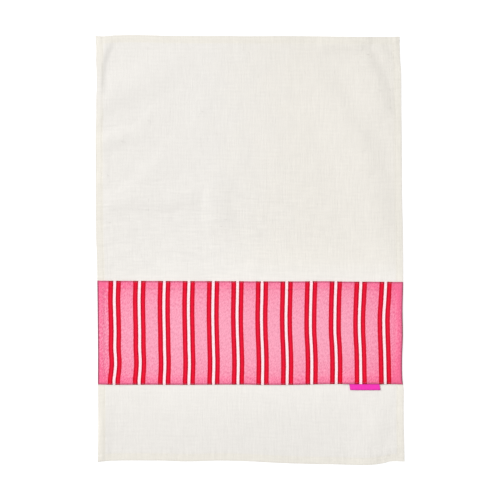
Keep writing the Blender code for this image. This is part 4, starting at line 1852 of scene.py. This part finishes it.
@dataclass
class TowelCloth:
    """The ecru cloth with its turned hems, its folds and the sewing of the hems."""

    width: float = 500 * MM
    length: float = 700 * MM
    thick: float = 1.0 * MM
    hem_width: float = 12 * MM
    hem_thick: float = 1.5 * MM
    hem_ease: float = 100 * MM
    hem_fade: float = 1.0 * MM
    seam: Seam = Seam(
        inset=10.4 * MM, dip=0.1 * MM, width=1.5 * MM, pucker_reach=9 * MM,
        pucker=Ripples(height=0.1 * MM, shortest=7 * MM, longest=17 * MM, seed=23, waves=12),
    )
    thread_rise: float = 0.18 * MM  # least height of the stitches below over the floor
    plump: float = 0.03 * MM
    corner_bulk: float = 0.4 * MM
    corner_flat: float = 7 * MM
    corner_fade: float = 6 * MM
    rim_round: float = 0.15 * MM
    rim_under: float = 0.7 * MM
    rim_raised: float = 0.42
    step: float = 3.2 * MM
    edge_lines: tuple[float, ...] = (
        0, 0.05, 0.15, 0.4, 0.7, 1.5, 3, 5, 7, 8.5, 9.4, 10, 10.4, 10.8, 11.4, 12, 12.2, 14,
    )
    drawn_in: float = 0.8 * MM
    drawn_width: float = 10 * MM
    drawn_ease: float = 8 * MM
    outline: Outline = Outline(LEFT_EDGE, RIGHT_EDGE, TOP_EDGE, BOTTOM_EDGE)
    folds: FoldSet = FoldSet()
    cockle: Ripples = Ripples(height=0.035 * MM, shortest=14 * MM, longest=60 * MM, seed=11)

    def inside(self, across: Array, up: Array) -> Array:
        """Distance from the nearest edge of the cloth."""
        return np.minimum.reduce([across, self.width - across, up, self.length - up])

    def rest_height(self, inside: Array) -> Array:
        """Height of the cloth's underside behind the hem."""
        return (self.hem_thick - self.thick) * fall((inside - self.hem_width) / self.hem_ease)

    def body_height(self, x: Array, y: Array, inside: Array) -> Array:
        """Height of the cloth's face without its sewing, at `inside` from its edge.

        Args:
            x: Places across, in metres.
            y: Places up, in metres.
            inside: Distance of each from the nearest edge of the cloth.

        Returns:
            The height of each.
        """
        cockles = self.cockle.over(x, y) * ease(inside / self.hem_width)
        return self.rest_height(inside) + self.thick + self.folds.lift(x, y) + cockles

    def sewing(self, across: Array, up: Array) -> Array:
        """How the seams shape the face: the dip of each stitched line, its puckers and the plump hem.

        Args:
            across: Distance from the left edge.
            up: Distance from the bottom edge.

        Returns:
            What they add to the height.
        """
        far_across, far_up = self.width - across, self.length - up
        total = self.seam.puckers(((across, up), (far_across, up), (up, across), (far_up, across)))
        inside = self.inside(across, up)
        swelling = np.where(inside < self.seam.inset, np.sin(np.pi * inside / self.seam.inset), 0.0)
        total = total - self.seam.hollow(inside) + self.plump * swelling
        by_side, by_end = (
            fall((distance - self.corner_flat) / self.corner_fade)
            for distance in (np.minimum(across, far_across), np.minimum(up, far_up))
        )
        return total + self.corner_bulk * by_side * by_end

    def face_at(self, across: Array, up: Array) -> tuple[Array, Array, Array]:
        """A place on the cloth's face.

        Args:
            across: Distance from the left edge.
            up: Distance from the bottom edge.

        Returns:
            Its x, y and z.
        """
        x, y = self.outline.points(across / self.width, up / self.length)
        z = self.body_height(x, y, self.inside(across, up)) + self.sewing(across, up)
        return x, y, z

    def build(self, covered: tuple[float, float]) -> bpy.types.Object:
        """Make the cloth.

        Args:
            covered: The heights up the cloth between which the band hides it.

        Returns:
            The piece.
        """
        columns, rows = (
            Grid.lines(size, self.edge_lines, self.step) for size in (self.width, self.length)
        )
        grid = Grid(columns, rows)
        inside = self.inside(grid.across, grid.up)
        x, y, face = self.face_at(grid.across, grid.up)
        low, high = covered
        under = ease((grid.up - low) / self.drawn_ease) * fall((grid.up - high) / self.drawn_ease + 1)
        by_left, by_right = (
            np.clip(1 - distance / self.drawn_width, 0, 1)
            for distance in (grid.across, self.width - grid.across)
        )
        x = x + self.drawn_in * under * (by_left - by_right)
        in_hem = inside <= self.hem_width + TINY
        back = self.body_height(x, y, inside) - np.where(in_hem, self.hem_thick, self.thick)
        back = np.maximum(back + self.seam.hollow(inside), 0.0)
        body = face - back
        face = back + body * (1 + rim_share(inside, self.rim_round)) / 2
        back = back + body * self.rim_raised * (1 - rim_share(inside, self.rim_under))
        clear = (grid.up < low) | (grid.up > high)
        return SheetMesh(
            grid, x, y, face, back,
            layers=fall((inside - self.hem_width + self.hem_fade) / (2 * self.hem_fade)),
            open_face=np.where(clear & (inside > self.hem_width), 1.0, 0.0),
        ).build("towel_cloth", ECRU)

    def hem_runs(self, covered: tuple[float, float], side: ClothSide) -> list[Array]:
        """The lines along which the hems are sewn.

        Args:
            covered: The heights up the cloth between which the band hides its face.
            side: The side of the cloth to follow. Nothing hides the lines on its back.

        Returns:
            The points of each line.
        """
        low, high = covered
        bottom, top = self.seam.inset, self.length - self.seam.inset
        left, right = self.seam.inset, self.width - self.seam.inset
        spans = [(bottom, top)] if side is ClothSide.BACK else [(bottom, low), (high, top)]
        routes = [upright(across, *span) for across in (left, right) for span in spans]
        routes += [level(up, left, right) for up in (bottom, top)]
        runs = []
        for across, up in routes:
            x, y, z = self.face_at(across, up)
            if side is ClothSide.BACK:
                base = self.body_height(x, y, self.inside(across, up)) - self.hem_thick
                z = np.maximum(base + self.seam.dip, self.thread_rise)
            runs.append(rows_of(x, y, z))
        return runs


@dataclass
class StripedBand:
    """The striped cotton band, sewn on from side to side with its edges turned under."""

    towel: TowelCloth
    depth: float = 169 * MM
    thick: float = 1.0 * MM
    turn_extra: float = 0.5 * MM
    turn_width: float = 12.5 * MM
    end_turn: float = 9.6 * MM
    turn_fade: float = 1.0 * MM
    gap: float = 0.2 * MM
    seam: Seam = Seam(
        inset=2.2 * MM, dip=0.35 * MM, width=0.9 * MM, pucker_reach=12 * MM,
        pucker=Ripples(height=0.12 * MM, shortest=8 * MM, longest=22 * MM, seed=51, waves=12),
    )
    hides_below: float = 1.5 * MM
    hides_above: float = 2.5 * MM
    rim_round: float = 0.6 * MM
    step: float = 2.5 * MM
    outline: Outline = Outline(LEFT_EDGE, RIGHT_EDGE, BAND_TOP_EDGE, BAND_BOTTOM_EDGE)
    row_lines: tuple[float, ...] = (
        0, 0.1, 0.3, 0.6, 1.2, 1.8, 2.2, 2.6, 3.4, 5, 8, 11.5, 12.5, 13.5, 15,
    )
    end_lines: tuple[float, ...] = (0, 0.1, 0.3, 0.6, 1.2, 1.8, 2.2, 2.6, 3.4, 5, 8, 10, 11, 12.5)

    def covered(self) -> tuple[float, float]:
        """The heights up the cloth that lie under the band, or too near to it to be clear."""
        low, high = ((row[0].at - BOTTOM_EDGE[0].at) * MM for row in (BAND_BOTTOM_EDGE, BAND_TOP_EDGE))
        return low - self.hides_below, high + self.hides_above

    def sway(self, x: Array, up: Array) -> Array:
        """How far the printed stripes stray to the right.

        Args:
            x: Places across, in metres.
            up: Distances up the band.

        Returns:
            The strays, in metres.
        """
        heights = [row.up for row in STRIPE_SWAY]
        strays = [smooth_read(heights, column, up / MM) for column in list(zip(*STRIPE_SWAY))[1:]]
        total = strays[0]
        for i, (start, stop) in enumerate(zip(SWAY_PLACES, SWAY_PLACES[1:])):
            total = total + (strays[i + 1] - strays[i]) * ease((x / MM - start) / (stop - start))
        return total * MM

    def from_edges(self, across: Array, up: Array) -> tuple[Array, Array]:
        """Distance from the band's long edges and from its ends."""
        return np.minimum(up, self.depth - up), np.minimum(across, self.towel.width - across)

    def turned(self, edge: Array, end: Array) -> Array:
        """Where the band's cloth is turned under: 1 near its long edges and its ends."""
        by_edge = fall((edge - self.turn_width) / self.turn_fade)
        return np.maximum(by_edge, fall((end - self.end_turn) / self.turn_fade))

    def floor(self, x: Array, y: Array, across: Array) -> Array:
        """Height of the band's underside, which lies on the cloth.

        Args:
            x: Places across, in metres.
            y: Places up, in metres.
            across: Distance from the cloth's left edge.

        Returns:
            The height of each.
        """
        inside = np.minimum(across, self.towel.width - across)
        return self.towel.body_height(x, y, inside) + self.gap + LABEL.lift(x, y)

    def face_at(self, across: Array, up: Array) -> tuple[Array, Array, Array]:
        """A place on the band's face.

        Args:
            across: Distance from the cloth's left edge.
            up: Distance from the band's lower edge.

        Returns:
            Its x, y and z.
        """
        x, y = self.outline.points(across / self.towel.width, up / self.depth)
        edge, end = self.from_edges(across, up)
        z = self.floor(x, y, across) + self.thick + self.turn_extra * self.turned(edge, end)
        z = z + self.seam.puckers(((up, across), (self.depth - up, across)))
        return x, y, z - np.maximum(self.seam.hollow(edge), self.seam.hollow(end))

    def build(self) -> bpy.types.Object:
        """Make the band.

        Returns:
            The piece.
        """
        grid = Grid(
            Grid.lines(self.towel.width, self.end_lines, self.step),
            Grid.lines(self.depth, self.row_lines, self.step),
        )
        x, y, face = self.face_at(grid.across, grid.up)
        back = self.floor(x, y, grid.across)
        edge, end = self.from_edges(grid.across, grid.up)
        face = back + (face - back) * rim_share(np.minimum(edge, end), self.rim_round)
        return SheetMesh(
            grid, x, y, face, back,
            layers=self.turned(edge, end), stripe_across=x - self.sway(x, grid.up),
        ).build("striped_band", STRIPED)

    def seam_runs(self) -> list[Array]:
        """The lines along which the band is sewn, on its face.

        Returns:
            The points of each line.
        """
        left, right = self.seam.inset, self.towel.width - self.seam.inset
        low, high = self.seam.inset, self.depth - self.seam.inset
        routes = [level(line, left, right) for line in (low, high)]
        routes += [upright(line, low, high) for line in (left, right)]
        return [rows_of(*self.face_at(*route)) for route in routes]


@dataclass(frozen=True)
class RibbonLabel:
    """The bare ribbon label: two layers joined by a fold, its ends under the band."""

    width: float = 49.4 * MM
    left: float = 162 * MM
    shown: float = 10.0 * MM
    tucked: float = 6.0 * MM
    layer: float = 0.42 * MM
    slot: float = 0.2 * MM
    slant: float = 0.16
    rise: float = 1.35 * MM
    margin: float = 3 * MM
    fade: float = 14 * MM
    bow: float = 0.25 * MM
    wave: float = 0.12 * MM
    wave_turns: float = 1.3
    wave_start: float = 0.6
    sharp_edge: float = math.radians(50)
    columns: int = 60
    fold_steps: int = 10
    run_steps: int = 16

    def lift(self, x: Array, y: Array) -> Array:
        """How far the label lifts the band that lies over it.

        Args:
            x: Places across, in metres.
            y: Places up, in metres.

        Returns:
            The lift of each.
        """
        top = edge_at(BAND_BOTTOM_EDGE, x) + self.tucked
        aside = np.maximum.reduce([self.left - x, x - self.left - self.width, np.zeros_like(x)])
        distance = np.hypot(aside, np.maximum(y - top, 0.0))
        return self.rise * fall((distance - self.margin) / self.fade)

    def section(self) -> Array:
        """Outline of the folded ribbon, from its tucked ends to its fold.

        Returns:
            Rows of run and height.
        """
        length = self.tucked + self.shown
        outer = self.layer + self.slot / 2
        inner = self.slot / 2
        centre = length - outer
        turns = -math.pi / 2 + math.pi * np.arange(self.fold_steps + 1) / self.fold_steps
        straight = np.linspace(0.0, centre, self.run_steps)[:-1]
        rows = [(run, 0.0) for run in straight]
        rows += [(centre + outer * math.cos(turn), outer + outer * math.sin(turn)) for turn in turns]
        rows += [(run, 2 * outer) for run in straight[::-1]]
        rows += [(run, outer + inner) for run in straight]
        rows += [(centre + inner * math.cos(turn), outer + inner * math.sin(turn)) for turn in turns[::-1]]
        rows += [(run, outer - inner) for run in straight[::-1]]
        return np.array(rows)

    def build(self, towel: TowelCloth, gap: float) -> bpy.types.Object:
        """Make the label.

        Args:
            towel: The cloth that it lies on.
            gap: The clearance over the cloth.

        Returns:
            The piece.
        """
        section = self.section()
        shares = np.linspace(0.0, 1.0, self.columns + 1)
        run, share = np.meshgrid(section[:, 0], shares)
        tucked_end = edge_at(BAND_BOTTOM_EDGE, self.left + self.width * shares)[:, None] + self.tucked
        freed = run / (self.tucked + self.shown)
        x = self.left + self.width * share + (run - self.tucked) * self.slant
        y = tucked_end - run - self.bow * np.sin(np.pi * share) * freed**2
        inside = np.minimum(edge_at(RIGHT_EDGE, y) - x, y - edge_at(BOTTOM_EDGE, x))
        wave = self.wave * np.sin(share * math.tau * self.wave_turns + self.wave_start) * freed
        z = towel.body_height(x, y, inside) + gap + section[:, 1] + np.maximum(wave, 0.0)
        count = len(section)
        lower = np.arange(self.columns * count).reshape(self.columns, count)
        ahead = np.roll(lower, -1, axis=1)
        quads = np.stack([lower, lower + count, ahead + count, ahead], axis=-1).reshape(-1, 4)
        faces = [*quads.tolist(), *self.end_faces(count)]
        data = bpy.data.meshes.new("ribbon_label")
        data.from_pydata(rows_of(x, y, z).tolist(), [], faces)
        measured = np.concatenate([[0.0], np.cumsum(np.hypot(*np.diff(section, axis=0).T))])
        flat = rows_of(share * self.width, np.broadcast_to(measured, share.shape))
        set_map(data, CLOTH_MAP, flat[[loop.vertex_index for loop in data.loops]])
        data.shade_smooth()
        data.set_sharp_from_angle(angle=self.sharp_edge)
        data.materials.append(RIBBON.material())
        return place_object("ribbon_label", data)

    def end_faces(self, count: int) -> list[list[int]]:
        """The cut sides of the ribbon, as strips of quads between its outer and inner outlines.

        Args:
            count: How many points the section has.

        Returns:
            The faces of both sides.
        """
        half = count // 2
        faces = []
        for base, forward in ((0, True), (self.columns * count, False)):
            for i in range(half - 1):
                quad = [base + i, base + count - 1 - i, base + count - 2 - i, base + i + 1]
                faces.append(quad if forward else quad[::-1])
        return faces


LABEL = RibbonLabel()


@dataclass(frozen=True)
class Studio:
    """Floor, light and the camera that looks straight down."""

    floor_size: float = 14.0
    floor_depth: float = 0.2 * MM
    view_width: float = 817.5 * MM
    lens: float = 85.0
    sensor: float = 36.0
    camera_x: float = -0.16 * MM
    camera_y: float = 0.16 * MM
    cloth_height: float = 1.5 * MM
    key_place: tuple[float, float, float] = (-7.8, 3.7, 7.8)
    key_size: float = 4.7
    key_power: float = 1275.0
    sky: float = 0.586

    def build(self) -> None:
        """Make the floor, the lights, the surroundings and the camera."""
        half = self.floor_size / 2
        corners = ((-half, -half), (half, -half), (half, half), (-half, half))
        data = bpy.data.meshes.new("floor")
        data.from_pydata([(*corner, -self.floor_depth) for corner in corners], [], [(0, 1, 2, 3)])
        data.materials.append(FLOOR.material())
        place_object("floor", data)
        self.light("key_light", self.key_place, self.key_size, self.key_power)
        world = bpy.data.worlds.new("studio")
        world.use_nodes = True
        sky = world.node_tree.nodes["Background"].inputs
        sky["Color"].default_value = (1, 1, 1, 1)
        sky["Strength"].default_value = self.sky
        bpy.context.scene.world = world
        bpy.context.scene.view_settings.view_transform = "Standard"
        self.camera()

    @staticmethod
    def light(name: str, place: tuple[float, float, float], size: float, power: float) -> None:
        """Add a soft square light that faces the towel.

        Args:
            name: Its name.
            place: Where it stands.
            size: Its side.
            power: Its power in watts.
        """
        lamp = bpy.data.lights.new(name, "AREA")
        lamp.size = size
        lamp.energy = power
        holder = bpy.data.objects.new(name, lamp)
        holder.location = place
        holder.rotation_euler = (-Vector(place)).to_track_quat("-Z", "Y").to_euler()
        bpy.context.scene.collection.objects.link(holder)

    def camera(self) -> None:
        """Add the camera, at the height where the photo's frame is `view_width` wide."""
        eye = bpy.data.cameras.new("camera")
        eye.lens = self.lens
        eye.sensor_width = self.sensor
        holder = bpy.data.objects.new("camera", eye)
        height = self.cloth_height + self.view_width * self.lens / self.sensor
        holder.location = (self.camera_x, self.camera_y, height)
        bpy.context.scene.collection.objects.link(holder)
        bpy.context.scene.camera = holder


def attach(piece: bpy.types.Object, replaced: str | None = None) -> None:
    """Let a piece ride with the towel, and log its faces.

    Args:
        piece: The piece.
        replaced: The solid that it stands for, if any.
    """
    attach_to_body(piece, "root")
    if replaced:
        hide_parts(replaced)
    LOG.info("%s: %d faces", piece.name, len(piece.data.polygons))


def main() -> None:
    """Load the frame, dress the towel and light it."""
    logging.basicConfig(level=logging.INFO, format="%(name)s %(message)s")
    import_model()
    towel = TowelCloth()
    band = StripedBand(towel)
    covered = band.covered()
    cloth = towel.build(covered)
    striped = band.build()
    ribbon = LABEL.build(towel, band.gap)
    slubs = SlubTool().bake(cloth.data.copy(), "slubs", Material=SLUB_YARN.material(), Seed=5)
    sewn = StitchTool()
    hem_stitches = sewn.bake(
        line_mesh("hem_line", towel.hem_runs(covered, ClothSide.FACE)), "hem_stitches",
        Material=ECRU_THREAD.material(),
    )
    hem_stitches_below = sewn.bake(
        line_mesh("hem_line_below", towel.hem_runs(covered, ClothSide.BACK)), "hem_stitches_below",
        Material=ECRU_THREAD.material(), Seed=2,
    )
    band_stitches = sewn.bake(
        line_mesh("band_line", band.seam_runs()), "band_stitches",
        Material=PINK_THREAD.material(), Seed=3,
    )
    attach(cloth, "towel")
    attach(striped, "band")
    attach(ribbon, "label")
    for piece in (slubs, hem_stitches, hem_stitches_below):
        attach(piece)
    attach(band_stitches)
    Studio().build()


if __name__ == "__main__":
    main()
